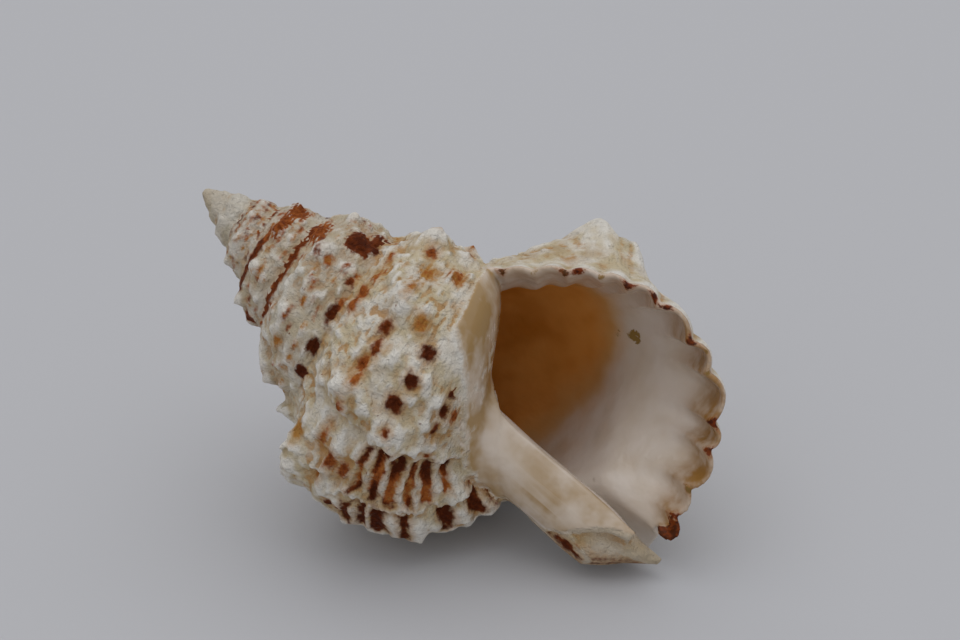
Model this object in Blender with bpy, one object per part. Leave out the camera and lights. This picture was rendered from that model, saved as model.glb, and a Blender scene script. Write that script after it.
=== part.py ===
"""A large frog shell, grown as one piece, lying on the side of its last whorl.

The shell is grown in its own frame, in millimetres: the apex is at the origin and the coiling axis runs
down -Z to the end of the siphonal canal. A ring of the whorl has a turn, in degrees before the lip, and a
place on the ring runs from the suture at 0 to the neck of the canal at 1. Every full turn makes the same
section GROWTH times larger. The grown solid is then turned to the way the shell lies, scaled to metres
and set with the middle of its footprint on the origin.
"""
import math

import bmesh
import bpy
import numpy as np

MM = 0.001

# The coil
GROWTH = 1.54            # size of a whorl over the whorl before it
WHORLS = 9.0             # from the tip of the spire to the lip
LIP_FACING = 20.0        # where the lip ends round the axis, in degrees from +X towards -Y
NECK_RADIUS = 12.4       # of the neck round the siphonal canal
NECK_END = 177.6         # depth below the apex where the neck ends, on the lip's side
NECK_SLANT = 12.0        # how much sooner it ends on the other side

# Section of the whorl at the lip: distance from the axis, distance below the apex
SECTION = ((34.5, 80), (39.5, 86), (45, 91.5), (51, 97), (55, 103), (57.5, 111), (59.5, 122), (60, 133),
           (56.5, 141.5), (51, 147.5), (42, 153.5), (31, 159), (22, 163), (15.5, 166.5), (12.8, 172))
# Section of the flared lip, which the last ring reaches
LIP = ((37, 83), (42, 88.5), (48, 96), (54.5, 103.5), (62.5, 116), (66.5, 128), (66.9, 138.7), (64.3, 149.2),
       (61, 157.5), (56, 165), (45.5, 171.8), (38, 175.6), (31, 177.2), (23, 177.8), (16, 179.6), (11, 180.2),
       (8.2, 178.2))
FLARE = 60.0             # degrees of growth over which the section opens to the lip

# Relief on the outside
KNOBS = 8.0              # blunt knobs on each whorl's shoulder
KNOB_TURN = -312.0       # turn of the boldest knob
KNOB_HEIGHT = 6.5
LOW_KNOBS = ((121, 2.6), (138, 2.2))    # rows of low knobs under them: depth below the apex, height
PEAK = (-350, 103.5, 4.8)  # one sharp knob on the shoulder: turn, depth, added height
# Bumps and dents on the outline of the spire: turn, depth, height, how far round they reach
SPIRE_BUMPS = ((-588, 102, -8.5, 7), (-572, 110, 6.0, 6), (-716, 99, -7.5, 9), (-720, 122, -3.0, 10),
               (-925, 115, 3.5, 12), (-950, 106, 1.2, 6))
# Rows of small beads between the knobs: depth, beads on a whorl, height
BEADS = ((87.5, 21, 1.0), (94.5, 21, 1.1), (112, 25, 1.3), (116.5, 27, 0.8), (129, 25, 1.2), (145, 27, 1.1),
         (151, 27, 0.9))
LUMPS = ((9, 1.0), (4.6, 0.7))          # worn lumps all over: size, height
# Bolder knobs on the back, some of which carry the shell when it lies: turn, depth below the apex, height
BACK_KNOBS = ((-193, 85, 9), (-203, 88, 6.5), (-211, 151, 4.5), (-177, 137, 4.2), (-154.5, 120, 3.1),
              (-132, 121, 6.7))
BACK_HOLLOW = 4.8        # how much the base draws in under them
BACK = -150.0            # turn where it draws in most
OLD_LIP = -203.0         # turn of the varix left by the lip before this one
OLD_LIP_START = -258.0   # where that varix starts, as a ledge
OLD_LIP_HEIGHT = 5.0
# Grooves between its ribs: depth below the apex, width, and the turns where they start and end
GROOVES = ((130.5, 2.4, -254, -230), (137.6, 3.6, -258, -228), (144.6, 4.2, -257, -228),
           (149.4, 2.0, -257, -230), (153.2, 3.4, -257, -230), (157.4, 3.2, -258, -232),
           (162.5, 3.0, -256, -226), (129, 2.8, -222, -206), (135.2, 2.6, -224.5, -206),
           (141.5, 5.0, -224.5, -206), (148.4, 2.8, -224.5, -205), (156.6, 4.0, -224.5, -205),
           (161.8, 4.2, -224.5, -206), (166.5, 3.4, -224, -208))
GROOVE_DEPTH = 1.5
LAST_VARIX = -30.0       # turn of the swelling behind the lip
LAST_VARIX_HEIGHT = 22.0
SPIRE_GIRTH = 1.07       # how much fuller the early whorls are than the same section made smaller
TIP = 1.5                # how much further the tip reaches out
RIBS = 11                # spiral ribs from the suture to the neck
RIB_HEIGHT = 0.7         # on the old lip, where they are strongest
LEDGE = 2.4              # step down where the old lip starts
# Dips between the scallops of the lip's edge: places along it
DIPS = (-0.02, 0.062, 0.13, 0.2, 0.275, 0.335, 0.41, 0.515, 0.59, 0.705, 0.765, 0.865, 0.93, 1.0)
SCALLOP_DEPTH = 3.0      # on the outer side of the lip, and half of that on its upper side
HOOK = 0.8               # how far the last scallop stands out over the canal
HOOK_PLACE = 0.96

# The inside
WALL = 3.2               # thickness of the wall
THROAT_END = -500.0      # turn where the hollow of the whorls closes
# Columella: depth below the apex, left and right reach, half its thickness front to back
PILLAR = ((80, -15, 15, 15), (96, -9.5, 9.5, 9.5), (115, -7, 7, 7), (130, -10, 6.2, 8), (145, -13, 6.2, 9.3),
          (158, -13.6, 6.2, 9.3), (165, -13.4, 5.6, 9), (170, -9.6, 4.6, 7.5), (175, -4.5, 3.8, 5.2),
          (180, -0.6, 3.8, 2.4), (183, 1.6, 3.8, 0.9))
# Glossy shield of callus in front of the columella: depth below the apex, and how far round the axis
# it reaches on the throat's side and on the outer side, in degrees from +X towards -Y
SHIELD = ((84, -25, 8), (88, -25, 50), (93, -25, 76), (101, -18, 84), (107, 14, 90), (112, 42, 105),
          (117, 57, 125), (125, 62, 157), (131, 62, 176), (148, 61, 178), (153, 61, 150), (159, 62, 118),
          (165, 64, 92), (172, 66, 80))
SHIELD_THICKNESS = 1.2
SHIELD_EDGE = 12.0       # degrees over which it thins out to its edge
SUNK = 0.9               # how far its edge goes under the skin of the whorl
FILLET = 0.4             # sharpness of the hollow where the shield bridges from the whorl to the neck

# How it lies
LEAN = 39.75             # degrees that the axis dips, seen by someone in front of it
AXIS_FORWARD = 6.0       # degrees that the canal's end comes towards them
LOOK_DOWN = 30.0         # degrees that they look down on it
WEAR = 0.7               # worn off what it lies on

# The solid and its finish
VOXEL = 1.2              # the skin's grain when the pieces are melted together
FULLER = 0.4             # what that takes off the relief, put on beforehand
TRIANGLES = 9400
CREAM = (0.78, 0.70, 0.58, 1.0)
ROUGHNESS = 0.55

CURVE_POINTS = 401


def smooth_curve(points, count=CURVE_POINTS):
    """A Catmull-Rom curve through the points, at even distances along it."""
    given = np.array(points, float)
    ends = np.vstack([2 * given[0] - given[1], given, 2 * given[-1] - given[-2]])
    pieces = []
    for a, b, c, d in zip(ends, ends[1:], ends[2:], ends[3:]):
        t = np.linspace(0, 1, 24, endpoint=False)[:, None]
        pieces.append(0.5 * (2 * b + (c - a) * t + (2 * a - 5 * b + 4 * c - d) * t**2
                             + (3 * b - a - 3 * c + d) * t**3))
    curve = np.vstack([*pieces, given[-1:]])
    length = np.r_[0, np.cumsum(np.linalg.norm(np.diff(curve, axis=0), axis=1))]
    even = np.linspace(0, length[-1], count)
    return np.stack([np.interp(even, length, curve[:, i]) for i in (0, 1)], -1)


WHORL_CURVE = smooth_curve(SECTION)
LIP_CURVE = smooth_curve(LIP)


def along(curve, place):
    """The (distance from axis, distance below apex) at a place from 0 to 1 on a curve."""
    steps = np.linspace(0, 1, CURVE_POINTS)
    return np.interp(place, steps, curve[:, 0]), np.interp(place, steps, curve[:, 1])


def place_at(depth):
    """The place on the whorl's section that lies this far below the apex."""
    return float(np.interp(depth, WHORL_CURVE[:, 1], np.linspace(0, 1, CURVE_POINTS)))


def ease(x):
    """0 below 0, 1 above 1, and a smooth rise between them."""
    x = np.clip(x, 0, 1)
    return x * x * (3 - 2 * x)


def bell(x, width):
    """1 at 0, falling away on both sides over a width."""
    return np.exp(-(x / width) ** 2)


def hashed(index, seed):
    """A number from -1 to 1 for each whole number, always the same for the same seed."""
    mixed = (index.astype(np.int64) + seed * 7919) & 0x7FFFFFFF
    mixed = (mixed ^ (mixed >> 13)) * 1274126177 & 0x7FFFFFFF
    mixed = (mixed ^ (mixed >> 16)) * 668265263 & 0x7FFFFFFF
    return mixed / 0x3FFFFFFF - 1.0


def lumps(points, cell, seed):
    """Smooth heights from -1 to 1 at (..., 3) points, in lumps as large as a cell."""
    scaled = points / cell
    corner = np.floor(scaled).astype(np.int64)
    part = ease(scaled - corner)
    total = np.zeros(points.shape[:-1])
    for step in np.ndindex(2, 2, 2):
        at = corner + np.array(step)
        key = at[..., 0] * 73856093 ^ at[..., 1] * 19349663 ^ at[..., 2] * 83492791
        share = np.prod(np.where(np.array(step) == 1, part, 1 - part), axis=-1)
        total += share * hashed(key, seed)
    return total


SHOULDER = place_at(103)
LENGTH = float(np.linalg.norm(np.diff(WHORL_CURVE, axis=0), axis=1).sum())


def size_at(turn):
    """Size of the ring at a turn, over its size at the lip."""
    return GROWTH ** (turn / 360)


def facing(turn):
    """Where a ring stands round the axis, in radians."""
    return np.radians(LIP_FACING + turn)


def knob_rows(turn, place):
    """Height of the knobs: a bold row on the shoulder, low rows under it, and those that stand alone."""
    past = turn - KNOB_TURN
    row = SHOULDER + 0.07 * bell(past - 14, 55)
    bold = np.maximum(0, np.cos(np.radians(past * KNOBS))) ** 1.6 * (1 + 0.22 * math.cos(past * 0.031))
    height = KNOB_HEIGHT * bold * bell(place - row, 0.055)
    low = np.maximum(0, np.cos(np.radians(past * KNOBS * 2)))
    for deep, tall in LOW_KNOBS:
        height = height + tall * low * bell(place - place_at(deep), 0.03)
    at, deep, added = PEAK
    height = height + added * bell(turn - at, 5) * bell(place - place_at(deep), 0.035)
    for at, deep, added, reach in SPIRE_BUMPS:
        height = height + added * bell(turn - at, reach) * bell(place - place_at(deep), 0.045)
    for at, deep, added in BACK_KNOBS:
        height = height + added * bell(turn - at, 10) * bell(place - place_at(deep), 0.04)
    return height * (1 - ease((turn + 50) / 25))


def beading(turn, place):
    """Height of the beads, which come and go along their rows, and of the lumps between them."""
    spot = np.stack([0 * place + turn * 0.95, place * 150, 0 * place], -1)
    height = 0 * place
    for row, (cell, tall) in enumerate(LUMPS):
        height = height + tall * lumps(spot, cell, 31 + row)
    for row, (deep, count, tall) in enumerate(BEADS):
        swell = max(0, math.cos(math.radians((turn + 7 * row) * count)))
        some = 0.25 + 0.9 * ease(lumps(spot + 50 * row, 14, 40 + row) + 0.5)
        height = height + tall * some * swell * bell(place - place_at(deep), 0.014)
    fade = ease(place / 0.05) * (1 - ease((place - 0.93) / 0.05)) * (1 - 0.8 * ease((turn + 14) / 12))
    # What the shell lies on is worn smooth
    fade = fade * (1 - 0.8 * bell(turn - BACK, 38) * ease((place - place_at(98)) / 0.05))
    return height * fade * size_at(turn) ** -0.35


def bare(turn, deep):
    """0 where the shield covers the whorl, and 1 outside it."""
    deeps, _, ends = (np.array(column, float) for column in zip(*SHIELD))
    past_edge = turn + LIP_FACING + 360 - np.interp(deep, deeps, ends)
    under = (1 - ease((past_edge + 2) / 8)) * ease((deep - deeps[0] + 3) / 5)
    return 1 - under * ease((turn + 415) / 8) * (turn < -200)


def grooves(turn, place):
    """How far the grooves of the old lip go in."""
    inside = np.full(place.shape, -9.0)
    for deep, wide, start, end in GROOVES:
        across = np.abs(place - place_at(deep)) * LENGTH * size_at(turn)
        inside = np.maximum(inside, np.minimum(wide / 2 - across, 0.8 * min(turn - start, end - turn)))
    return GROOVE_DEPTH * ease((inside + 0.7) / 1.6)


def varices(turn, place):
    """Height of the old lip on the left and of the swelling behind the lip."""
    past = turn - OLD_LIP
    start = turn - OLD_LIP_START
    rise = (OLD_LIP_HEIGHT + LEDGE + 3 * ease((place - 0.7) / 0.1)) * ease(start / (OLD_LIP - OLD_LIP_START))
    spread = ease((place - SHOULDER + 0.12) / 0.1) * (1 - ease((place - 0.92) / 0.05))
    beat = np.cos(2 * math.pi * RIBS * place)
    ribs = RIB_HEIGHT * beat * ease(start / 6) * (1 - ease(past / 14)) - grooves(turn, place)
    scar = 1.5 * bell(turn + 227 + 1.5 * beat, 1.7) - 0.9 * bell(turn + 223.5 + 1.5 * beat, 1.5)
    height = spread * (rise * (1 - ease(past / 12)) + ribs + scar)
    height = height + 5 * bell(past + 5, 14) * bell(place - SHOULDER, 0.06)
    height = height + 2.2 * bell(past + 9, 6) * bell(place - SHOULDER - 0.01, 0.03)
    last = turn - LAST_VARIX
    ridges = 1 + 0.18 * beat
    height = height + LAST_VARIX_HEIGHT * ridges * bell(last, 15) * bell(place - place_at(110), 0.095)
    return height + 6 * bell(last, 16) * ease(place / 0.12) * (1 - ease((place - 0.3) / 0.3))


def waist(turn, place):
    """How far the whole wall draws in: at the ledge, and along the old lip under the widest place."""
    ledge = LEDGE * ease((turn - OLD_LIP_START) / 2) * (1 - ease((turn - OLD_LIP) / 12))
    ledge = ledge * ease((place - 0.1) / 0.1)
    low = 4 * bell(place - place_at(136), 0.07) * ease((turn + 260) / 40) * (1 - ease((turn + 120) / 60))
    low = low + BACK_HOLLOW * bell(place - place_at(146), 0.08) * bell(turn - BACK, 50)
    return ledge * (1 - ease((place - 0.92) / 0.05)) + low


def wall_at(turn, place):
    """Thickness of the wall: thick just inside the upper lip, and thin at its edge."""
    thick = WALL + 4.0 * bell(turn + 20, 13) * (1 - ease((place - 0.12) / 0.35))
    return thick * (1 - 0.35 * ease((turn + 10) / 10))


def ring(turn, places, relief=1.0, inside=False):
    """The ring at a turn, on the outside with its relief or on the smooth inside of the wall."""
    size = size_at(turn)
    far, deep = along(WHORL_CURVE, places)
    step = 1e-3
    above = along(WHORL_CURVE, np.clip(places - step, 0, 1))
    below = along(WHORL_CURVE, np.clip(places + step, 0, 1))
    out_far, out_deep = below[1] - above[1], above[0] - below[0]
    length = np.hypot(out_far, out_deep)
    raised = knob_rows(turn, places) + varices(turn, places) + beading(turn, places)
    raised = relief * (raised * bare(turn, deep * size) + FULLER) - waist(turn, places)
    girth = 1 + (SPIRE_GIRTH - 1) * (1 - ease((turn + 620) / 120))
    far = (far + out_far / length * raised) * size * girth
    deep = (deep + out_deep / length * raised) * size - TIP * (1 - ease((turn + 1800) / 400))
    neck = ease((places - 0.90) / 0.07)
    far = far * (1 - neck) + NECK_RADIUS * min(1, size / 0.72) * neck
    if turn > -360:
        end = NECK_END + NECK_SLANT * min(0, math.cos(facing(turn)))
        stretch = ease((places - 0.93) / 0.07) * ease((turn + 300) / 80)
        deep = deep + np.maximum(0, end - deep) * stretch
    lip_far, lip_deep = along(LIP_CURVE, places)
    blend = ease((turn + FLARE) / FLARE) ** 1.4
    far = far * (1 - blend) + lip_far * blend
    deep = deep * (1 - blend) + lip_deep * blend
    if inside:
        inset = wall_at(turn, places)
        d_far, d_deep = np.gradient(far), np.gradient(deep)
        length = np.hypot(d_far, d_deep) + 1e-9
        far, deep = far - d_deep / length * inset, deep + d_far / length * inset
    d_far, d_deep = np.gradient(far), np.gradient(deep)
    length = np.hypot(d_far, d_deep) + 1e-9
    lobes = np.abs(np.sin(math.pi * np.interp(places, DIPS, range(len(DIPS))))) ** 0.7 - 0.6
    lobes = SCALLOP_DEPTH * lobes * (0.5 + 0.5 * ease((places - 0.25) / 0.3)) * ease(places / 0.1)
    out = (lobes + HOOK * bell(places - HOOK_PLACE, 0.03)) * ease((turn + 38) / 38) ** 1.5
    far, deep = far + d_deep / length * out, deep - d_far / length * out
    angle = facing(turn)
    return np.stack([far * math.cos(angle), -far * math.sin(angle), -deep], -1)


def closed_solid(rings):
    """A bmesh of the closed rings, each bridged to the next, with a cap on each end."""
    mesh = bmesh.new()
    rows = [[mesh.verts.new(point) for point in points] for points in rings]
    for row, after in zip(rows, rows[1:]):
        for i in range(len(row)):
            j = (i + 1) % len(row)
            mesh.faces.new((row[i], row[j], after[j], after[i]))
    mesh.faces.new(rows[0][::-1])
    mesh.faces.new(rows[-1])
    bmesh.ops.recalc_face_normals(mesh, faces=mesh.faces)
    return mesh


def spire():
    """The solid whorls, up to where the hollow of the last one begins."""
    places = np.linspace(0, 1, 60)
    rings = []
    for turn in np.arange(-360 * WHORLS, THROAT_END, 5.0):
        size = size_at(turn)
        outside = ring(turn, places)
        core = np.array([[0, 0, -173 * size], [0, 0, -60 * size]])
        rings.append(np.vstack([outside, core]))
    return closed_solid(rings)


def last_whorl():
    """The wall of the last whorl, open at the lip."""
    places = np.linspace(0, 1, 80)
    rings = []
    for turn in np.arange(THROAT_END - 12, 0.1, 3.0):
        outside = ring(turn, places)
        inside = ring(turn, places, relief=0.0, inside=True)
        rings.append(np.vstack([outside, inside[::-1]]))
    return closed_solid(rings)


def pillar():
    """The columella, round which the whorls wind, with the solid side of the neck."""
    deeps, lefts, rights, halves = zip(*PILLAR)
    angles = np.linspace(0, 2 * math.pi, 28, endpoint=False)
    rings = []
    for deep in np.linspace(deeps[0], deeps[-1], 60):
        left, right, half = (float(np.interp(deep, deeps, row)) for row in (lefts, rights, halves))
        x = (left + right) / 2 + (right - left) / 2 * np.cos(angles)
        rings.append(np.stack([x, half * np.sin(angles), np.full(len(angles), -deep)], -1))
    return closed_solid(rings)


def front_radius(deep, around):
    """How far the front of the last whorl but one stands from the axis, at a depth and a facing."""
    size = size_at(around - LIP_FACING - 360)
    far = np.interp(deep / size, WHORL_CURVE[:, 1], WHORL_CURVE[:, 0]) * size
    return np.where(deep > WHORL_CURVE[-1, 1] * size, 0, far)


def shield():
    """The callus that lies on the front of the whorl and bridges to the neck."""
    deeps, starts, ends = zip(*SHIELD)
    rings = []
    for deep in np.arange(deeps[0], deeps[-1], 1.0):
        start, end = (float(np.interp(deep, deeps, row)) for row in (starts, ends))
        around = np.linspace(start, end, 40)
        whorl = front_radius(deep, around)
        edge = ease((end - around) / SHIELD_EDGE)
        neck = NECK_RADIUS - 0.8 + SHIELD_THICKNESS * edge
        laid = whorl - SUNK + (SHIELD_THICKNESS + SUNK) * edge
        far = np.log(np.exp(FILLET * laid) + np.exp(FILLET * neck)) / FILLET
        near = np.maximum(3.0, whorl - 5)
        around = np.radians(np.r_[around, around[::-1]])
        far = np.r_[far, near[::-1]]
        rings.append(np.stack([far * np.cos(around), -far * np.sin(around), np.full(80, -deep)], -1))
    return closed_solid(rings)


def joined(name, pieces):
    """One object that holds every piece."""
    whole = bmesh.new()
    for piece in pieces:
        held = bpy.data.meshes.new("piece")
        piece.to_mesh(held)
        whole.from_mesh(held)
        piece.free()
        bpy.data.meshes.remove(held)
    mesh = bpy.data.meshes.new(name)
    whole.to_mesh(mesh)
    whole.free()
    shell = bpy.data.objects.new(name, mesh)
    bpy.context.scene.collection.objects.link(shell)
    return shell


def one_skin(shell):
    """Melts the overlapping pieces into one closed skin and thins it out to the triangles wanted."""
    melt = shell.modifiers.new("melt", "REMESH")
    melt.mode = "VOXEL"
    melt.voxel_size = VOXEL
    graph = bpy.context.evaluated_depsgraph_get()
    triangles = 2 * len(shell.evaluated_get(graph).data.polygons)
    thin = shell.modifiers.new("thin", "DECIMATE")
    thin.ratio = TRIANGLES / triangles
    thin.use_collapse_triangulate = True
    graph = bpy.context.evaluated_depsgraph_get()
    grown = shell.data
    shell.data = bpy.data.meshes.new_from_object(shell.evaluated_get(graph))
    shell.modifiers.clear()
    bpy.data.meshes.remove(grown)


def resting_turn():
    """The rotation from the frame the shell grows in to the way it lies."""
    lean, forward, down = (math.radians(angle) for angle in (LEAN, AXIS_FORWARD, LOOK_DOWN))
    # Someone in front of the shell sees x to their right, y up and z towards them
    side = (math.sin(lean), math.cos(lean), 0)
    behind = (math.sin(forward) * math.cos(lean), -math.sin(forward) * math.sin(lean), -math.cos(forward))
    spire = (-math.cos(forward) * math.cos(lean), math.cos(forward) * math.sin(lean), -math.sin(forward))
    seen = np.array([side, behind, spire]).T
    # What they look down on lies level
    level = np.array([(1, 0, 0),
                      (0, math.sin(down), -math.cos(down)),
                      (0, math.cos(down), math.sin(down))])
    return level @ seen


def lay_down(shell):
    """Turns the shell to the way it lies, wears flat what it lies on, and sets it on the origin in metres."""
    points = np.empty(len(shell.data.vertices) * 3)
    shell.data.vertices.foreach_get("co", points)
    points = points.reshape(-1, 3) @ resting_turn().T
    floor = points[:, 2].min() + WEAR
    points[:, 2] = np.maximum(points[:, 2], floor)
    middle = (points.min(axis=0) + points.max(axis=0)) / 2
    points = (points - [middle[0], middle[1], floor]) * MM
    shell.data.vertices.foreach_set("co", points.ravel())
    shell.data.update()


def finish(shell):
    """Smooth shading and the cream of the shell."""
    for face in shell.data.polygons:
        face.use_smooth = True
    cream = bpy.data.materials.new("shell_cream")
    cream.use_nodes = True
    surface = cream.node_tree.nodes["Principled BSDF"]
    surface.inputs["Base Color"].default_value = CREAM
    surface.inputs["Roughness"].default_value = ROUGHNESS
    surface.inputs["Metallic"].default_value = 0.0
    shell.data.materials.append(cream)


def main():
    """Clears the scene, grows the shell and lays it on the ground."""
    for old in list(bpy.data.objects):
        bpy.data.objects.remove(old)
    shell = joined("shell", [spire(), last_whorl(), pillar(), shield()])
    one_skin(shell)
    lay_down(shell)
    finish(shell)


main()
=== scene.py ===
"""A large frog shell, grown in one piece and lying on the side of its last whorl, dressed for a picture.

The shell is worked out in the frame that it grows in, in millimetres: the apex is at the origin and the
coiling axis runs down -Z to the end of the siphonal canal. A point of a whorl has a turn, in degrees before
the lip, and a place on its section, from the suture at 0 to the neck of the canal at 1. The wall, the
columella and the callus are sheets of quads that are coiled, melted into one skin, worn a little and then
laid on the ground in metres, inside the box of the solid that it stands for.
"""

import logging
import math
from dataclasses import dataclass, field, replace
from enum import Enum

import bpy
import numpy as np
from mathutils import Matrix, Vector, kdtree


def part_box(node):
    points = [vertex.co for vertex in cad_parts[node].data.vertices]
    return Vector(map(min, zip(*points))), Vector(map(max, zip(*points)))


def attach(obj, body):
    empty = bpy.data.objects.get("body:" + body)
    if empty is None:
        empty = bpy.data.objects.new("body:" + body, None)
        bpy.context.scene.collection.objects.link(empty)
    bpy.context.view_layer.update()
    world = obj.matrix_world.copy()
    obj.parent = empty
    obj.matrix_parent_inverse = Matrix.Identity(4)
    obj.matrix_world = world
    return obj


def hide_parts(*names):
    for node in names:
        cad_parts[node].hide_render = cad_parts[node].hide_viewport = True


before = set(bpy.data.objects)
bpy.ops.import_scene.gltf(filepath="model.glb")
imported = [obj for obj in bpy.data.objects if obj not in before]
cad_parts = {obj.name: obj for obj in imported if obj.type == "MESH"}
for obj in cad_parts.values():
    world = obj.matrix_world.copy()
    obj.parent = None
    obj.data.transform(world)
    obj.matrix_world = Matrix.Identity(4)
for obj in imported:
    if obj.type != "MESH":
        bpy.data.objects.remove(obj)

MM = 0.001
NODE = "shell"
BODY = "root"
CURVE_POINTS = 401
# What stands for a point far from every mark, in millimetres inside it
OFF = -4.0

Array = np.ndarray
Socket = bpy.types.NodeSocket

log = logging.getLogger("shell")


# ---- Curves and noise ----------------------------------------------------------------------------------


def ease(x: Array) -> Array:
    """0 below 0, 1 above 1, and a smooth rise between them."""
    x = np.clip(x, 0, 1)
    return x * x * (3 - 2 * x)


def rise(x: Array, start: float, end: float) -> Array:
    """0 at the start and before it, 1 at the end and beyond it, and a smooth rise between them."""
    return ease((x - start) / (end - start))


def bell(x: Array, width: float) -> Array:
    """1 at 0, falling away on both sides over a width."""
    return np.exp(-(x / width) ** 2)


def hashed(index: Array, seed: int) -> Array:
    """A number from -1 to 1 for each whole number, always the same for the same seed.

    Args:
        index: whole numbers.
        seed: picks the sequence.

    Returns:
        An array of the index's shape.
    """
    mixed = (index.astype(np.int64) + seed * 7919) & 0x7FFFFFFF
    mixed = (mixed ^ (mixed >> 13)) * 1274126177 & 0x7FFFFFFF
    mixed = (mixed ^ (mixed >> 16)) * 668265263 & 0x7FFFFFFF
    return mixed / 0x3FFFFFFF - 1.0


def lumps(points: Array, cell: float, seed: int) -> Array:
    """Smooth random lumps in space.

    Args:
        points: (..., 3) positions.
        cell: size of a lump, in the unit of the positions.
        seed: picks the pattern.

    Returns:
        Heights from -1 to 1.
    """
    scaled = points / cell
    corner = np.floor(scaled).astype(np.int64)
    part = ease(scaled - corner)
    total = np.zeros(points.shape[:-1])
    for step in np.ndindex(2, 2, 2):
        at = corner + np.array(step)
        key = at[..., 0] * 73856093 ^ at[..., 1] * 19349663 ^ at[..., 2] * 83492791
        share = np.prod(np.where(np.array(step) == 1, part, 1 - part), axis=-1)
        total += share * hashed(key, seed)
    return total


@dataclass(frozen=True)
class Outline:
    """A smooth curve through given (distance from the axis, depth below the apex) points.

    Args:
        given: the points, in millimetres.
    """

    given: tuple

    def curve(self) -> Array:
        """The curve at even steps along it, as (CURVE_POINTS, 2)."""
        given = np.array(self.given, float)
        ends = np.vstack([2 * given[0] - given[1], given, 2 * given[-1] - given[-2]])
        pieces = []
        for a, b, c, d in zip(ends, ends[1:], ends[2:], ends[3:]):
            t = np.linspace(0, 1, 24, endpoint=False)[:, None]
            pieces.append(0.5 * (2 * b + (c - a) * t + (2 * a - 5 * b + 4 * c - d) * t**2
                                 + (3 * b - a - 3 * c + d) * t**3))
        curve = np.vstack([*pieces, given[-1:]])
        length = np.r_[0, np.cumsum(np.linalg.norm(np.diff(curve, axis=0), axis=1))]
        even = np.linspace(0, length[-1], CURVE_POINTS)
        return np.stack([np.interp(even, length, curve[:, i]) for i in (0, 1)], -1)

    def length(self) -> float:
        """Length of the curve."""
        return float(np.linalg.norm(np.diff(self.curve(), axis=0), axis=1).sum())

    def along(self, place: Array) -> tuple[Array, Array]:
        """(distance from the axis, depth) at places from 0 to 1."""
        curve, steps = self.curve(), np.linspace(0, 1, CURVE_POINTS)
        return np.interp(place, steps, curve[:, 0]), np.interp(place, steps, curve[:, 1])

    def place_at(self, depth: float) -> float:
        """The place that lies at a depth."""
        return float(np.interp(depth, self.curve()[:, 1], np.linspace(0, 1, CURVE_POINTS)))


class Skin(Enum):
    """What a part of the surface is."""

    OUTSIDE = 0
    LINING = 1
    COLUMELLA = 2
    CALLUS = 3


@dataclass
class Sheet:
    """A coiled sheet of quads, with what it is and where it lies on the coil at every point."""

    name: str
    points: Array
    skin: Array
    turn: Array
    place: Array

    def tube(self) -> bpy.types.Object:
        """The sheet as a closed skin: its last column is merged with its first and its ends are filled."""
        rows, columns = self.points.shape[:2]
        bpy.ops.object.select_all(action="DESELECT")
        bpy.ops.mesh.primitive_grid_add(x_subdivisions=columns - 1, y_subdivisions=rows - 1, size=1)
        piece = bpy.context.object
        piece.name = self.name
        piece.data.vertices.foreach_set("co", self.points.reshape(-1))
        piece.data.update()
        bpy.ops.object.mode_set(mode="EDIT")
        bpy.ops.mesh.select_all(action="SELECT")
        bpy.ops.mesh.remove_doubles(threshold=1e-5)
        bpy.ops.mesh.fill_holes(sides=0)
        bpy.ops.mesh.select_all(action="SELECT")
        bpy.ops.mesh.normals_make_consistent(inside=False)
        bpy.ops.object.mode_set(mode="OBJECT")
        return piece


def there_and_back(out: Array, back: Array) -> Array:
    """Columns along one side of a sheet, then back along its other side to the first one again."""
    return np.concatenate([out, back[:, ::-1], out[:, :1]], 1)


# ---- The shell's pieces ---------------------------------------------------------------------------------


@dataclass(frozen=True)
class Coil:
    """The logarithmic spiral that every whorl follows."""

    growth: float = 1.54
    whorls: float = 9.0
    lip_facing: float = 20.0

    def size(self, turn: Array) -> Array:
        """Size of the section at a turn, over its size at the lip."""
        return self.growth ** (np.asarray(turn) / 360)

    def facing(self, turn: Array) -> Array:
        """Where a section stands round the axis, in radians from +X towards -Y."""
        return np.radians(self.lip_facing + np.asarray(turn))

    def on(self, turn: Array, far: Array, deep: Array) -> Array:
        """Points at turns, distances from the axis and depths."""
        angle = self.facing(turn)
        return np.stack([far * np.cos(angle), -far * np.sin(angle), -deep + 0 * angle], -1)


@dataclass(frozen=True)
class Knob:
    """A knob that stands alone or, where its height is negative, a dent.

    Args:
        turn: degrees before the lip.
        depth: depth at the lip's size, in millimetres.
        height: in millimetres at the lip's size.
        reach: how far round it spreads, in degrees.
        width: how far across it spreads, over the length of the section.
    """

    turn: float
    depth: float
    height: float
    reach: float = 10.0
    width: float = 0.04


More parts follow.
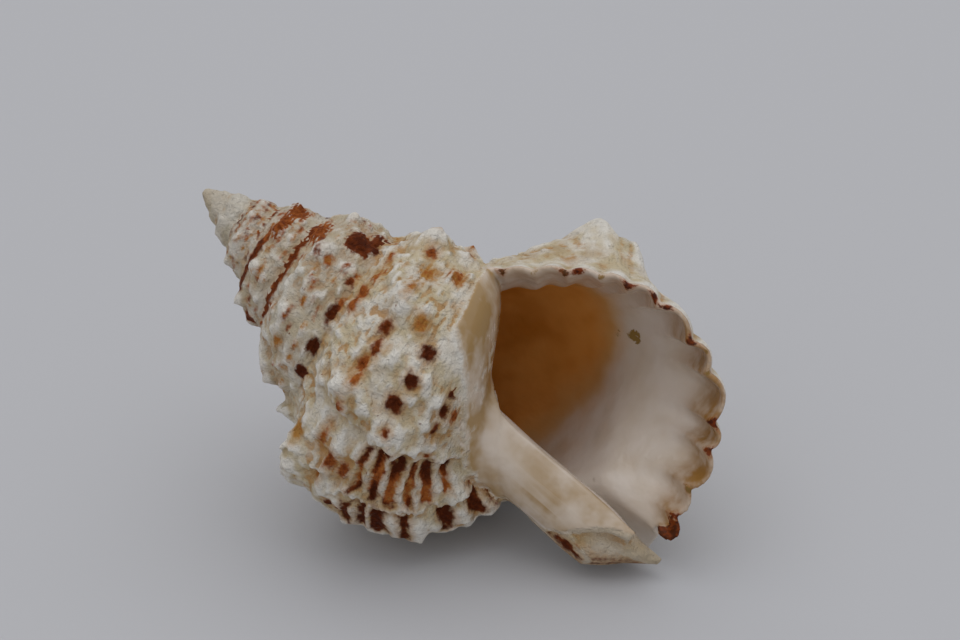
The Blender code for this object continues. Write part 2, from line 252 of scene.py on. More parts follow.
@dataclass
class Whorls:
    """The coiled wall with its knobs, its varices and its worn cords. Heights are those at the lip's size."""

    coil: Coil = field(default_factory=Coil)
    section: Outline = Outline(((34.5, 80), (39.5, 86), (45, 91.5), (51, 97), (55, 103), (57.5, 111),
                                (59.5, 122), (60, 133), (56.5, 141.5), (51, 147.5), (42, 153.5), (31, 159),
                                (22, 163), (15.5, 166.5), (12.8, 172)))
    lip: Outline = Outline(((37, 83), (42, 88.5), (48, 96), (54.5, 103.5), (62.5, 116), (66.5, 128),
                            (66.9, 138.7), (64.3, 149.2), (61, 157.5), (56, 165), (45.5, 171.8), (38, 175.6),
                            (31, 177.2), (23, 177.8), (16, 179.6), (11, 180.2), (8.2, 178.2)))
    flare: float = 60.0
    spire_girth: float = 1.07
    tip: float = 1.5
    throat_end: float = -330.0
    # The solid middle of the early whorls, from depth to depth
    core: tuple = (60.0, 173.0)
    # The neck of the canal: its radius, the place where it starts, how deep it ends, how much sooner behind
    neck_radius: float = 12.4
    neck_from: float = 0.93
    neck_end: float = 177.6
    neck_slant: float = 12.0
    # The wall: its thickness, what the upper lip has more, and how thin its edge is
    wall: float = 3.2
    upper_lip: float = 4.0
    edge: float = 0.28
    # The callus on the front: depth, and how far round the axis it starts and ends, in degrees
    callus_reach: tuple = ((84, -25, 8), (88, -25, 50), (93, -25, 76), (101, -18, 84), (107, 14, 90),
                           (112, 42, 105), (117, 57, 125), (125, 62, 157), (131, 62, 176), (148, 61, 178),
                           (153, 61, 150), (159, 62, 118), (165, 64, 92), (172, 66, 80))
    # It only covers the whorl that faces the mouth, which lies between these turns
    callus_turns: tuple = (-415.0, -200.0)
    # Knobs in rows: the bold one on the shoulder, and low ones at a depth, with a height, twice as close
    knobs_a_whorl: float = 8.0
    knob_turn: float = -312.0
    knob_height: float = 6.5
    knob_width: float = 0.055
    low_knobs: tuple = ((121, 2.6), (138, 2.2))
    low_knob_width: float = 0.03
    lone_knobs: tuple = (
        # A sharp one on the shoulder
        Knob(-350, 103.5, 4.8, 5, 0.035),
        # Bumps and dents on the outline of the spire
        Knob(-588, 102, -8.5, 7, 0.045), Knob(-572, 110, 6.0, 6, 0.045), Knob(-716, 99, -7.5, 9, 0.045),
        Knob(-720, 122, -3.0, 10, 0.045), Knob(-925, 115, 3.5, 12, 0.045), Knob(-950, 106, 1.2, 6, 0.045),
        # Bolder ones on the back, some of which carry the shell
        Knob(-193, 85, 9), Knob(-203, 88, 6.5), Knob(-211, 151, 4.5), Knob(-177, 137, 4.2),
        Knob(-154.5, 120, 3.1), Knob(-132, 121, 6.7))
    # Small rows of beads between the knobs: depth, beads on a whorl, height
    beads: tuple = ((87.5, 21, 1.0), (94.5, 21, 1.1), (112, 25, 1.3), (116.5, 27, 0.8), (129, 25, 1.2),
                    (145, 27, 1.1), (151, 27, 0.9))
    bead_width: float = 0.014
    # Lumps that the growth and the sea left: size, height, seed
    lumpiness: tuple = ((9, 1.0, 31), (4.6, 1.0, 32), (2.3, 0.7, 33))
    # The base under the old lip draws in, and so does the back, which is worn smooth round its turn
    base_hollow: float = 4.0
    back: float = -150.0
    back_hollow: float = 4.8
    worn: float = 0.8
    # The old lip: the turns where it starts and stands highest, its height, what it has more towards the
    # base, and the ledge that it steps from
    old_lip_start: float = -258.0
    old_lip: float = -203.0
    old_lip_height: float = 5.0
    old_lip_foot: float = 3.0
    ledge: float = 2.4
    ribs: int = 11
    rib_height: float = 0.7
    # Scars of growth across it: turn, height, width, in degrees
    scars: tuple = ((-227, 1.8, 1.5), (-223.8, -1.1, 1.3))
    faint_scar: tuple = (-240, 0.6, 1.3)
    # Bumps where it meets the shoulder: degrees past it, reach, height, place past the shoulder, width
    shoulder_bumps: tuple = ((-5, 14, 5.0, 0.0, 0.06), (-9, 6, 2.2, 0.01, 0.03))
    # Grooves between its ribs: depth, width, and where they start and end, in degrees
    grooves: tuple = ((130.5, 2.4, -254, -230), (137.6, 3.6, -258, -228), (144.6, 4.2, -257, -228),
                      (149.4, 2.0, -257, -230), (153.2, 3.4, -257, -230), (157.4, 3.2, -258, -232),
                      (162.5, 3.0, -256, -226), (129.0, 2.8, -222, -206), (135.2, 2.6, -224.5, -206),
                      (141.5, 5.0, -224.5, -206), (148.4, 2.8, -224.5, -205), (156.6, 4.0, -224.5, -205),
                      (161.8, 4.2, -224.5, -206), (166.5, 3.4, -224, -208))
    groove_depth: float = 1.5
    # The swelling behind the lip: its turn and reach in degrees, the depth and width of its top, its height,
    # and that of its tail up to the suture
    last_varix: float = -30.0
    last_varix_reach: float = 15.0
    last_varix_depth: float = 110.0
    last_varix_width: float = 0.095
    last_varix_height: float = 22.0
    last_varix_tail: float = 6.0
    # Dips between the scallops of the lip's edge: places along it
    dips: tuple = (-0.02, 0.062, 0.13, 0.2, 0.275, 0.335, 0.41, 0.515, 0.59, 0.705, 0.765, 0.865, 0.93, 1.0)
    scallop_depth: float = 3.0
    fold_height: float = 1.5
    hook: float = 0.8
    hook_place: float = 0.96
    cords: int = 40
    cord_height: float = 0.45
    wrinkle_height: float = 0.22
    swell_height: float = 0.45

    def __post_init__(self) -> None:
        """Finds the shoulder on the section."""
        self.shoulder = self.section.place_at(103)

    def past(self, place: Array, depth: float) -> Array:
        """How far along the section each place lies past a depth."""
        return place - self.section.place_at(depth)

    @staticmethod
    def sheet_spot(turn: Array, place: Array, along: float = 0.95,
                   across: float = 150.0) -> Array:
        """Points that lumps are read at, from millimetres for a degree of turn and for the whole section."""
        return np.stack([turn * along + 0 * place, place * across + 0 * turn, 0 * turn * place], -1)

    def knobs(self, turn: Array, place: Array) -> Array:
        """Height of the knobs: a bold row on the shoulder, low rows under it, and those that stand alone."""
        past = turn - self.knob_turn
        row = self.shoulder + 0.07 * bell(past - 14, 55)
        beat = np.cos(np.radians(past * self.knobs_a_whorl))
        bold = np.maximum(0, beat) ** 1.6 * (1 + 0.22 * np.cos(past * 0.031))
        low = np.maximum(0, np.cos(np.radians(past * self.knobs_a_whorl * 2)))
        height = self.knob_height * bold * bell(place - row, self.knob_width)
        for deep, tall in self.low_knobs:
            height = height + tall * low * bell(self.past(place, deep), self.low_knob_width)
        for knob in self.lone_knobs:
            across = bell(self.past(place, knob.depth), knob.width)
            height = height + knob.height * bell(turn - knob.turn, knob.reach) * across
        # They die out before the flare
        return height * (1 - rise(turn, -50, -25))

    def ledge_turn(self, place: Array) -> Array:
        """Where the old lip starts, which wanders along its chipped edge."""
        ribs = np.cos(2 * math.pi * self.ribs * place)
        chips = hashed(np.floor(place * 46), 5) * 0.9 + hashed(np.floor(place * 19), 6) * 1.2
        return self.old_lip_start + 1.4 * ribs + chips

    def beading(self, turn: Array, place: Array) -> Array:
        """Height of the beads, which come and go along their rows, and of the lumps between them."""
        spot = self.sheet_spot(turn, place)
        height = sum(tall * lumps(spot, cell, seed) for cell, tall, seed in self.lumpiness)
        for row, (deep, count, tall) in enumerate(self.beads):
            swell = np.maximum(0, np.cos(np.radians((turn + 7 * row) * count)))
            some = 0.25 + 0.9 * ease(lumps(spot + 50 * row, 14, 40 + row) + 0.5)
            height = height + tall * some * swell * bell(self.past(place, deep), self.bead_width)
        near_lip = rise(turn, -14, -2)
        fade = ease(place / 0.05) * (1 - ease((place - self.neck_from) / 0.05)) * (1 - self.worn * near_lip)
        fade = fade * (1 - self.worn * bell(turn - self.back, 38) * ease(self.past(place, 98) / 0.05))
        # Early whorls are rougher for their size
        return height * fade * self.coil.size(turn) ** -0.35

    def bare(self, turn: Array, deep: Array) -> Array:
        """0 where the callus covers the whorl, and 1 outside it."""
        deeps, _, ends = (np.array(column, float) for column in zip(*self.callus_reach))
        past_edge = turn + self.coil.lip_facing + 360 - np.interp(deep, deeps, ends)
        under = (1 - rise(past_edge, -2, 6)) * ease((deep - deeps[0] + 3) / 5)
        first, last = self.callus_turns
        return 1 - under * rise(turn, first, first + 8) * (turn < last)

    def inside_groove(self, turn: Array, place: Array) -> Array:
        """How far inside a groove of the old lip a point lies, in millimetres, negative outside."""
        best = np.full(np.broadcast(turn, place).shape, -9.0)
        unit = self.section.length() * self.coil.size(turn)
        spot = self.sheet_spot(turn, place)
        wander, swell, chips = 0.9 * lumps(spot, 6, 51), 0.5 * lumps(spot, 4, 52), 2.5 * lumps(spot, 3, 53)
        for deep, wide, start, end in self.grooves:
            across = np.abs(self.past(place, deep) * unit + wander)
            ends = (np.minimum(turn - start, end - turn) + chips) * 0.6
            best = np.maximum(best, np.minimum(wide / 2 + swell - across, ends))
        return best

    def old_varix(self, turn: Array, place: Array) -> Array:
        """Height of the old lip on the left: a ribbed swelling with grooves and scars, and its shoulder."""
        past = turn - self.old_lip
        start = turn - self.ledge_turn(place)
        lifted = self.old_lip_height + self.ledge + self.old_lip_foot * rise(place, 0.7, 0.8)
        lifted = lifted * ease(start / (self.old_lip - self.old_lip_start))
        spread = ease((place - self.shoulder + 0.12) / 0.1) * (1 - rise(place, 0.92, 0.97))
        beat = np.cos(2 * math.pi * self.ribs * place)
        ribs = self.rib_height * beat * ease(start / 6) * (1 - ease(past / 14))
        ribs = ribs - self.groove_depth * ease((self.inside_groove(turn, place) + 0.7) / 1.6)
        jag = 1.5 * beat + 1.6 * hashed(np.floor(place * 60), 9) + 0.9 * hashed(np.floor(place * 33), 10)
        scar = sum(tall * bell(turn - at + jag, wide) for at, tall, wide in self.scars)
        at, tall, wide = self.faint_scar
        scar = scar + tall * bell(turn - at + 1.2 * beat, wide)
        height = spread * (lifted * (1 - ease(past / 12)) + ribs + scar)
        for at, reach, tall, along, wide in self.shoulder_bumps:
            height = height + tall * bell(past - at, reach) * bell(place - self.shoulder - along, wide)
        return height

    def new_varix(self, turn: Array, place: Array) -> Array:
        """Height of the swelling behind the lip, rough on its top."""
        last = turn - self.last_varix
        spot = self.sheet_spot(turn, place)
        ridges = 1 + 0.18 * np.cos(2 * math.pi * self.ribs * place)
        rough = 1 + 0.09 * lumps(spot, 6, 61) + 0.05 * lumps(spot, 3, 62)
        across = bell(self.past(place, self.last_varix_depth), self.last_varix_width)
        varix = self.last_varix_height * ridges * rough * bell(last, self.last_varix_reach) * across
        tail = ease(place / 0.12) * (1 - rise(place, 0.3, 0.6))
        return varix + self.last_varix_tail * bell(last, self.last_varix_reach + 1) * tail

    def waist(self, turn: Array, place: Array) -> Array:
        """How far the whole wall draws in: at the ledge, under the old lip and on the back."""
        start = ease((turn - self.ledge_turn(place)) / 1.6)
        ledge = self.ledge * start * (1 - ease((turn - self.old_lip) / 12)) * rise(place, 0.1, 0.2)
        base = bell(self.past(place, 136), 0.07)
        low = self.base_hollow * base * rise(turn, -260, -220) * (1 - rise(turn, -120, -60))
        hollow = bell(self.past(place, 146), 0.08) * bell(turn - self.back, 50)
        return ledge * (1 - rise(place, 0.92, 0.97)) + low + self.back_hollow * hollow

    def wear(self, turn: Array, place: Array) -> Array:
        """Height of the worn spiral cords and of the growth wrinkles that cross them."""
        kept = 0.35 + 0.65 * ease(lumps(self.sheet_spot(turn, place, 0.35, 90), 9, 3) + 0.4)
        spread = ease(place / 0.06) * (1 - ease((place - self.neck_from) / 0.05))
        wander = 0.5 * np.sin(turn * 0.09)
        cords = self.cord_height * np.cos(2 * math.pi * self.cords * place + wander)
        beads = 1 + 0.6 * np.cos(np.radians(turn * 40))
        across = self.sheet_spot(turn, place, 1.1, 12)
        wrinkles = self.wrinkle_height * lumps(across, 1.6, 8) + self.swell_height * lumps(across, 7, 9)
        return spread * (kept * cords * beads + wrinkles)

    def thickness(self, turn: Array, place: Array) -> Array:
        """Thickness of the wall: thick just inside the upper lip, and thin at its edge."""
        thick = self.wall + self.upper_lip * bell(turn + 20, 13) * (1 - rise(place, 0.12, 0.47))
        rolled = np.sqrt(np.clip(-turn / 7, 0, 1))
        return thick * (self.edge + (1 - self.edge) * rolled)

    def scallop(self, place: Array) -> Array:
        """Which scallop of the lip a place lies in, counted from the suture, whole at the dips."""
        return np.interp(place, self.dips, np.arange(len(self.dips)))

    def grown(self, turn: Array, place: Array, relief: bool) -> tuple[Array, Array]:
        """(distance from the axis, depth) of the whorls and of the neck, before the lip flares.

        Args:
            turn: degrees before the lip, as a column.
            place: places on the section, as a row.
            relief: True for the outside, with all that stands on it.

        Returns:
            Two arrays in millimetres.
        """
        size = self.coil.size(turn)
        far, deep = self.section.along(place)
        above, below = self.section.along(place - 1e-3), self.section.along(place + 1e-3)
        out_far, out_deep = below[1] - above[1], above[0] - below[0]
        length = np.hypot(out_far, out_deep)
        raised = -self.waist(turn, place)
        if relief:
            tall = self.knobs(turn, place) + (self.old_varix(turn, place) + self.new_varix(turn, place))
            tall = tall + self.beading(turn, place) + self.wear(turn, place)
            raised = raised + tall * self.bare(turn, deep * size)
        girth = 1 + (self.spire_girth - 1) * (1 - rise(turn, -620, -500))
        far = (far + out_far / length * raised) * size * girth
        deep = (deep + out_deep / length * raised) * size - self.tip * (1 - rise(turn, -1800, -1400))
        neck = rise(place, 0.9, 0.97)
        far = far * (1 - neck) + self.neck_radius * np.minimum(1, size / 0.72) * neck
        end = self.neck_end + self.neck_slant * np.minimum(0, np.cos(self.coil.facing(turn)))
        stretch = ease((place - self.neck_from) / 0.07) * rise(turn, -300, -220)
        return far, deep + np.maximum(0, end - deep) * stretch

    @staticmethod
    def pushed(far: Array, deep: Array, out: Array) -> tuple[Array, Array]:
        """Sections moved out square to themselves, in millimetres."""
        d_far, d_deep = np.gradient(far, axis=1), np.gradient(deep, axis=1)
        length = np.hypot(d_far, d_deep) + 1e-9
        return far + d_deep / length * out, deep - d_far / length * out

    def surface(self, turns: Array, places: Array, inside: bool = False) -> Array:
        """The wall at every turn and place.

        Args:
            turns: degrees before the lip, one for each row.
            places: from 0 to 1, one for each column.
            inside: True for the smooth inner side.

        Returns:
            (rows, columns, 3) points in millimetres.
        """
        turn, place = turns[:, None], places[None, :]
        far, deep = self.grown(turn, place, not inside)
        lip_far, lip_deep = self.lip.along(place)
        blend = ease((turn + self.flare) / self.flare) ** 1.4
        far = far * (1 - blend) + lip_far * blend
        deep = deep * (1 - blend) + lip_deep * blend
        if inside:
            folds = np.cos(2 * math.pi * self.scallop(place)) * bell(turn + 15, 14)
            folds = folds * (0.3 + 0.7 * rise(place, 0.2, 0.5)) * (1 - rise(place, 0.88, 0.94))
            far, deep = self.pushed(far, deep, -(self.thickness(turn, place) + self.fold_height * folds))
        lobes = np.abs(np.sin(math.pi * self.scallop(place))) ** 0.7 - 0.6
        lobes = self.scallop_depth * lobes * (0.5 + 0.5 * rise(place, 0.25, 0.55)) * ease(place / 0.1)
        out = (lobes + self.hook * bell(place - self.hook_place, 0.03)) * rise(turn, -38, 0) ** 1.5
        return self.coil.on(turn, *self.pushed(far, deep, out))

    def spire(self) -> Sheet:
        """The early whorls, filled up to the axis and finer towards the mouth."""
        turns = np.concatenate([np.arange(-360 * self.coil.whorls, -1200, 5.0),
                                np.arange(-1200, -690, 2.4),
                                np.arange(-690, self.throat_end, 1.2)])
        places = np.linspace(0, 1, 200)
        outside = self.surface(turns, places)
        size = self.coil.size(turns)[:, None]
        top, bottom = (np.concatenate([0 * size, 0 * size, -deep * size], 1)[:, None] for deep in self.core)
        points = np.concatenate([outside, bottom, top, outside[:, :1]], 1)
        across = np.r_[places, 1.0, 0.0, 0.0]
        turn, place = np.meshgrid(turns, across, indexing="ij")
        return Sheet("spire", points, np.full(turn.shape, Skin.OUTSIDE.value), turn, place)

    def last(self) -> Sheet:
        """The wall of the last whorl, open at the lip."""
        turns = np.arange(self.throat_end - 12, 0.01, 1.0)
        out_places, in_places = np.linspace(0, 1, 250), np.linspace(0, 1, 130)
        points = there_and_back(self.surface(turns, out_places), self.surface(turns, in_places, inside=True))
        places = there_and_back(out_places[None, :], in_places[None, :])
        skin = np.repeat([Skin.OUTSIDE.value, Skin.LINING.value, Skin.OUTSIDE.value],
                         [len(out_places), len(in_places), 1])
        turn, place = np.meshgrid(turns, places, indexing="ij")
        return Sheet("last_whorl", points, np.broadcast_to(skin, turn.shape), turn, place)


@dataclass
class Columella:
    """The pillar that the whorls wind round, with the solid side of the neck.

    Each row of the profile holds a depth, the left and right reach, and half the thickness front to back.
    """

    profile: tuple = ((80, -15, 15, 15), (96, -9.5, 9.5, 9.5), (115, -7, 7, 7), (130, -10, 6.2, 8),
                      (145, -13, 6.2, 9.3), (158, -13.6, 6.2, 9.3), (165, -13.4, 5.6, 9),
                      (170, -9.6, 4.6, 7.5), (175, -4.5, 3.8, 5.2), (180, -0.6, 3.8, 2.4),
                      (183, 1.6, 3.8, 0.9))
    # The outside of the neck: how deep it starts, and the facings between which it shows
    neck_starts: float = 140.0
    neck_faces: tuple = (72.0, 300.0)
    chalky_from: float = 171.0
    neck_place: float = 0.97
    coil: Coil = field(default_factory=Coil)

    def sheet(self) -> Sheet:
        """The pillar as a tube of rings."""
        deeps, lefts, rights, halves = (np.array(row, float) for row in zip(*self.profile))
        deep = np.linspace(deeps[0], deeps[-1], 160)[:, None]
        left, right, half = (np.interp(deep, deeps, row) for row in (lefts, rights, halves))
        angle = np.linspace(0, 2 * math.pi, 97)[None, :]
        x = (left + right) / 2 + (right - left) / 2 * np.cos(angle)
        points = np.stack([x, half * np.sin(angle), -deep + 0 * angle], -1)
        points[:, -1] = points[:, 0]
        around = np.degrees(np.arctan2(-points[..., 1], points[..., 0])) % 360
        outer = (deep > self.neck_starts) & (around > self.neck_faces[0]) & (around < self.neck_faces[1])
        outer = outer | (deep > self.chalky_from)
        skin = np.where(outer, Skin.OUTSIDE.value, Skin.COLUMELLA.value)
        turn = around - self.coil.lip_facing - 360
        return Sheet("columella", points, skin, turn, np.full(skin.shape, self.neck_place))


@dataclass
class Callus:
    """The glossy shield that lies on the front of the whorl and bridges to the neck."""

    whorls: Whorls
    thickness: float = 1.2
    sunk: float = 0.9
    fillet: float = 0.4
    feather: float = 12.0
    fading: float = 20.0
    ruffles: float = 4.5
    ruffle_gap: float = 5.6

    def front_radius(self, deep: Array, around: Array) -> Array:
        """How far the whorl under the shield stands from the axis."""
        coil, section = self.whorls.coil, self.whorls.section.curve()
        size = coil.size(around - coil.lip_facing - 360)
        far = np.interp(deep / size, section[:, 1], section[:, 0]) * size
        return np.where(deep > section[-1, 1] * size, 0, far)

    def sheet(self) -> Sheet:
        """The shield as a tube: out along its face and back under the skin of the whorl."""
        deeps, starts, ends = (np.array(row, float) for row in zip(*self.whorls.callus_reach))
        deep = np.arange(deeps[0], deeps[-1], 0.6)[:, None]
        start, end = (np.interp(deep, deeps, row) for row in (starts, ends))
        ruffle = np.abs(np.sin(math.pi * deep / self.ruffle_gap)) ** 0.7 * rise(deep, 116, 122)
        end = end + self.ruffles * (ruffle - 0.5) * ease((end - 100) / 30)
        around = start + (end - start) * np.linspace(0, 1, 150)[None, :]
        whorl = self.front_radius(deep, around)
        ragged = 2.4 * lumps(np.stack([deep + 0 * around, 0 * around, 0 * around], -1), 5, 21)
        edge = ease((end - around + ragged) / self.feather)
        neck = self.whorls.neck_radius - 0.8 + self.thickness * edge
        laid = whorl - self.sunk + (self.thickness + self.sunk) * edge
        far = np.log(np.exp(self.fillet * laid) + np.exp(self.fillet * neck)) / self.fillet
        near = np.maximum(3.0, whorl - 5)
        coil = self.whorls.coil
        turn = there_and_back(around, around) - coil.lip_facing
        points = coil.on(turn, there_and_back(far, near), deep)
        skin = np.full(points.shape[:2], Skin.CALLUS.value)
        film = ease((end - around + ragged - 2) / self.fading)
        away = (around - start) / (end - start)
        return Sheet("callus", points, skin, there_and_back(away, away), there_and_back(film, film))


# ---- Marks ----------------------------------------------------------------------------------------------


@dataclass(frozen=True)
class Mark:
    """A brown mark on the outside: its turn, its depth at the lip's size, its reach in millimetres, its tone.

    The tone runs from 0 for ochre by 0.5 for orange-brown to 1 for the darkest brown.
    """

    turn: float
    depth: float
    long: float
    wide: float
    tone: float
    streak: float = 0.0


@dataclass
class Markings:
    """Every brown mark, and the fields that the finish reads them from."""

    whorls: Whorls
    # The marks of the front, as the values of a Mark
    front: tuple = (
        # The two rows of squares on the front of the last whorl
        (-300, 132.1, 4.6, 4.8, 0.95), (-287, 132.4, 4.6, 4.6, 0.95), (-276, 131.2, 5.0, 5.6, 0.9),
        (-265, 133.6, 2.6, 2.6, 0.7), (-312, 149, 4.8, 4.2, 0.85), (-295, 148.6, 4.5, 4.2, 0.9),
        (-285, 149.1, 4.6, 4.6, 0.95), (-285, 153.2, 4.4, 3.4, 0.55), (-275, 149.1, 5.0, 2.8, 0.8),
        (-261, 150.6, 2.0, 2.2, 0.6),
        # Above them, round the big knobs
        (-297, 110.8, 5.0, 3.6, 0.78), (-288, 112.5, 5.6, 3.4, 0.68), (-280, 111.0, 4.6, 3.8, 0.5),
        (-275, 112.8, 5.5, 2.4, 0.4), (-343, 108.2, 4.4, 3.4, 0.6), (-332, 94.1, 4.4, 2.4, 0.45),
        (-317, 94.3, 6.0, 2.6, 0.4, 1.0), (-331, 111.8, 5.0, 4.4, 0.2, 1.0),
        (-337, 124, 6.0, 4.6, 0.32, 1.0), (-317, 111.4, 5.0, 1.8, 0.3), (-307, 123.1, 5.0, 4.0, 0.22),
        (-261, 112.6, 4.4, 2.2, 0.55),
        # In the suture over it
        (-246, 86.2, 4.6, 4.6, 1.0), (-264, 86.3, 6.0, 4.6, 1.0), (-286, 86.2, 7.8, 3.6, 0.92),
        (-293, 87.5, 4.0, 3.0, 0.5), (-297, 92.6, 5.4, 4.2, 0.48), (-305, 92.9, 4.8, 4.6, 0.5),
        (-312, 86, 2.6, 2.8, 0.4), (-307, 85.6, 3.6, 3.4, 0.75), (-337, 85.6, 6.0, 4.0, 0.95),
        # On the spire
        (-668, 111, 4.0, 3.0, 0.4), (-694, 121, 10.0, 9.5, 0.8, 0.4), (-706, 132, 8.0, 6.0, 0.75, 1.0),
        (-670, 102.6, 4.0, 1.8, 0.7), (-691, 92, 11.0, 6.4, 0.5, 1.0), (-607, 108, 5.0, 3.0, 0.25),
        (-640, 112, 3.4, 2.6, 0.3), (-934, 118, 6.0, 4.6, 0.75), (-1040, 103, 12.0, 5.0, 0.52, 1.0),
        (-1066, 108, 8.0, 6.0, 0.55, 1.0), (-1020, 96, 8.0, 3.0, 0.5, 1.0), (-990, 112, 5.0, 2.0, 0.3),
        (-1383, 84, 1.8, 1.6, 0.7), (-1379, 96, 1.8, 1.5, 0.6), (-1414, 94, 2.2, 1.8, 0.85),
        (-1438, 92, 2.4, 1.6, 0.8), (-1413, 116, 1.8, 1.4, 0.8), (-1396, 116, 1.6, 1.3, 0.75),
        # On the left of the old lip
        (-231, 99.5, 5.0, 4.6, 0.12), (-242, 110.6, 7.4, 2.6, 0.38), (-237, 117.6, 7.0, 3.6, 0.58),
        (-236, 123.8, 6.4, 3.4, 0.6), (-213, 124.4, 5.6, 5.4, 0.88), (-224, 115, 2.4, 2.4, 0.35),
        (-222, 165.7, 8.0, 5.5, 0.85), (-248, 149.6, 6.0, 2.4, 0.7, 1.0),
    )
    # Rows of dashes on the cords everywhere else: depth, length and width in millimetres, usual tone
    rows: tuple = ((86.5, 5.0, 3.4, 0.85), (91.0, 3.4, 1.8, 0.3), (95.5, 4.4, 2.4, 0.4),
                   (106.0, 3.6, 1.8, 0.25), (111.5, 4.6, 2.6, 0.55), (117.0, 3.0, 1.8, 0.3),
                   (122.0, 4.0, 2.2, 0.35), (127.0, 3.0, 1.8, 0.45), (132.0, 4.6, 4.4, 0.9),
                   (141.0, 3.6, 2.0, 0.4), (148.8, 4.4, 3.8, 0.85), (156.0, 3.6, 2.2, 0.5))
    # From turn to turn, a dash every so many degrees, with this share of them left out
    rows_reach: tuple = (-1500, -48)
    row_step: float = 11.0
    row_gaps: float = 0.15
    # Depth above which a mark lies in the suture
    suture_below: float = 88.0
    softness: float = 0.6
    # How square a mark's corners are: 2 for an oval, more for a square
    squareness: float = 3.2
    # Small olive marks inside the mouth: turn, depth at the lip's size, width
    mouth_marks: tuple = ((-39, 139.0, 4.8), (-40.5, 138.2, 3.4), (-43.2, 134.8, 1.1), (-44.6, 134.2, 1.1),
                          (-45.8, 135.2, 1.0), (-45.2, 133.2, 0.9), (-41.5, 136.0, 0.8))
    mouth_tone: float = 0.3
    # Brown spots on the outside of the neck: facing in degrees, depth, width, tone
    neck_spots: tuple = ((172, 150, 3.4, 0.9), (168, 153.5, 2.6, 0.7), (152, 158, 3.6, 0.85),
                         (143, 160.5, 2.0, 0.6), (205, 155, 4.0, 0.8), (232, 161, 3.6, 0.7),
                         (188, 163, 2.8, 0.5), (262, 157, 4.0, 0.8))
    # Marks on the edge of the lip, most of them in the dips: place along it, width, tone
    lip_marks: tuple = ((0.062, 3.0, 0.8), (0.13, 2.0, 0.5), (0.195, 4.0, 0.8), (0.225, 5.0, 0.9),
                        (0.275, 2.4, 0.6), (0.335, 5.0, 0.95), (0.395, 4.4, 0.9), (0.43, 4.2, 0.9),
                        (0.515, 4.4, 0.85), (0.55, 2.2, 0.6), (0.59, 2.4, 0.6), (0.705, 4.6, 0.9),
                        (0.765, 4.0, 0.85), (0.865, 3.6, 0.65), (0.93, 3.8, 0.9))
    lip_band: float = -14.0
    hook_mark: float = 4.6
    # Brown lines along the sutures of the spire: turns where they start and end, depth, width, tone
    sutures: tuple = ((-700, -590, 87.0, 3.4, 0.72), (-1015, -935, 95.0, 3.2, 0.8),
                      (-600, -560, 87.0, 1.6, 0.6), (-1080, -1010, 84.0, 2.4, 0.6))

    def all_marks(self) -> list[Mark]:
        """The marks of the front, and dashes in rows over the rest of the whorls."""
        marks = [Mark(*values) for values in self.front]
        # What lies in a suture runs over onto the whorl before it
        marks += [replace(mark, turn=mark.turn - 360, depth=mark.depth * self.whorls.coil.growth)
                  for mark in marks if mark.depth < self.suture_below and mark.turn > -360]
        for row, (depth, long, wide, tone) in enumerate(self.rows):
            for step, turn in enumerate(np.arange(*self.rows_reach, self.row_step)):
                luck = hashed(np.array([step * 11 + row * 131, step * 7 + row * 57, step * 5 + row * 91]), 17)
                in_front = -350 < turn < -200 or -700 < turn < -596 and depth < 90
                covered = turn < -360 and depth > 125
                if in_front or covered or luck[0] < self.row_gaps:
                    continue
                scale = max(0.3, float(self.whorls.coil.size(turn))) ** 0.6 * (0.8 + 0.35 * luck[1])
                drawn = long * scale * (1.2 + 0.5 * luck[2])
                marks.append(Mark(turn + 4.5 * luck[1], depth + 1.6 * luck[2], drawn, wide * scale,
                                  min(1.0, max(0.1, tone + 0.3 * luck[2]))))
        return marks

    def fields(self, turn: Array, place: Array, far: Array) -> tuple[Array, Array]:
        """How deep each point lies inside a mark, and the tone of that mark.

        Args:
            turn: degrees before the lip.
            place: place on the section.
            far: distance from the axis, in millimetres.

        Returns:
            Depth inside the nearest mark in millimetres, negative outside, and its tone.
        """
        section, unit = self.whorls.section, self.whorls.section.length() * self.whorls.coil.size(turn)
        best, tone = np.full(turn.shape, OFF), np.zeros(turn.shape)

        def lay(inside: Array, where: Array, shade: Array | float) -> None:
            """Keeps the deepest mark at each of the points picked."""
            better = inside > best[where]
            picked = np.flatnonzero(where)[better]
            best[picked] = inside[better]
            tone[picked] = shade[better] if isinstance(shade, Array) else shade

        for mark in self.all_marks():
            where = np.abs(turn - mark.turn) < 45
            size = float(self.whorls.coil.size(mark.turn))
            u = np.radians(turn[where] - mark.turn) * far[where]
            v = (place[where] - section.place_at(mark.depth)) * unit[where]
            a, b, power = mark.long / 2, mark.wide / 2, self.squareness
            streaks = 0.34 * mark.streak * np.cos(2 * math.pi * v / max(0.9, 1.9 * size**0.3))
            reach = (np.abs(u / a) ** power + np.abs(v / b) ** power) ** (1 / power)
            lay(self.softness * (1 - reach - streaks) * min(a, b), where, mark.tone)
        # The grooves of the old lip, paler along its middle
        where = (turn > -262) & (turn < -200)
        fade = bell(turn[where] + 241 + 6 * hashed(np.floor(place[where] * 40), 3), 7)
        shade = np.where(turn[where] < -226, np.clip(1.0 - 0.75 * fade, 0.4, 1.0), 0.92)
        lay(self.softness * self.whorls.inside_groove(turn[where], place[where]), where, shade)
        for start, end, depth, wide, shade in self.sutures:
            where = (turn > start) & (turn < end)
            v = (place[where] - section.place_at(depth)) * unit[where]
            ends = np.minimum(turn[where] - start, end - turn[where]) * 0.2
            lay(self.softness * np.minimum(wide / 2 - np.abs(v), ends), where, shade)
        where = turn > self.lip_band
        from_edge = -np.radians(turn[where]) * far[where]
        for at, wide, shade in self.lip_marks:
            across_lip = np.abs(place[where] - at) * self.whorls.lip.length()
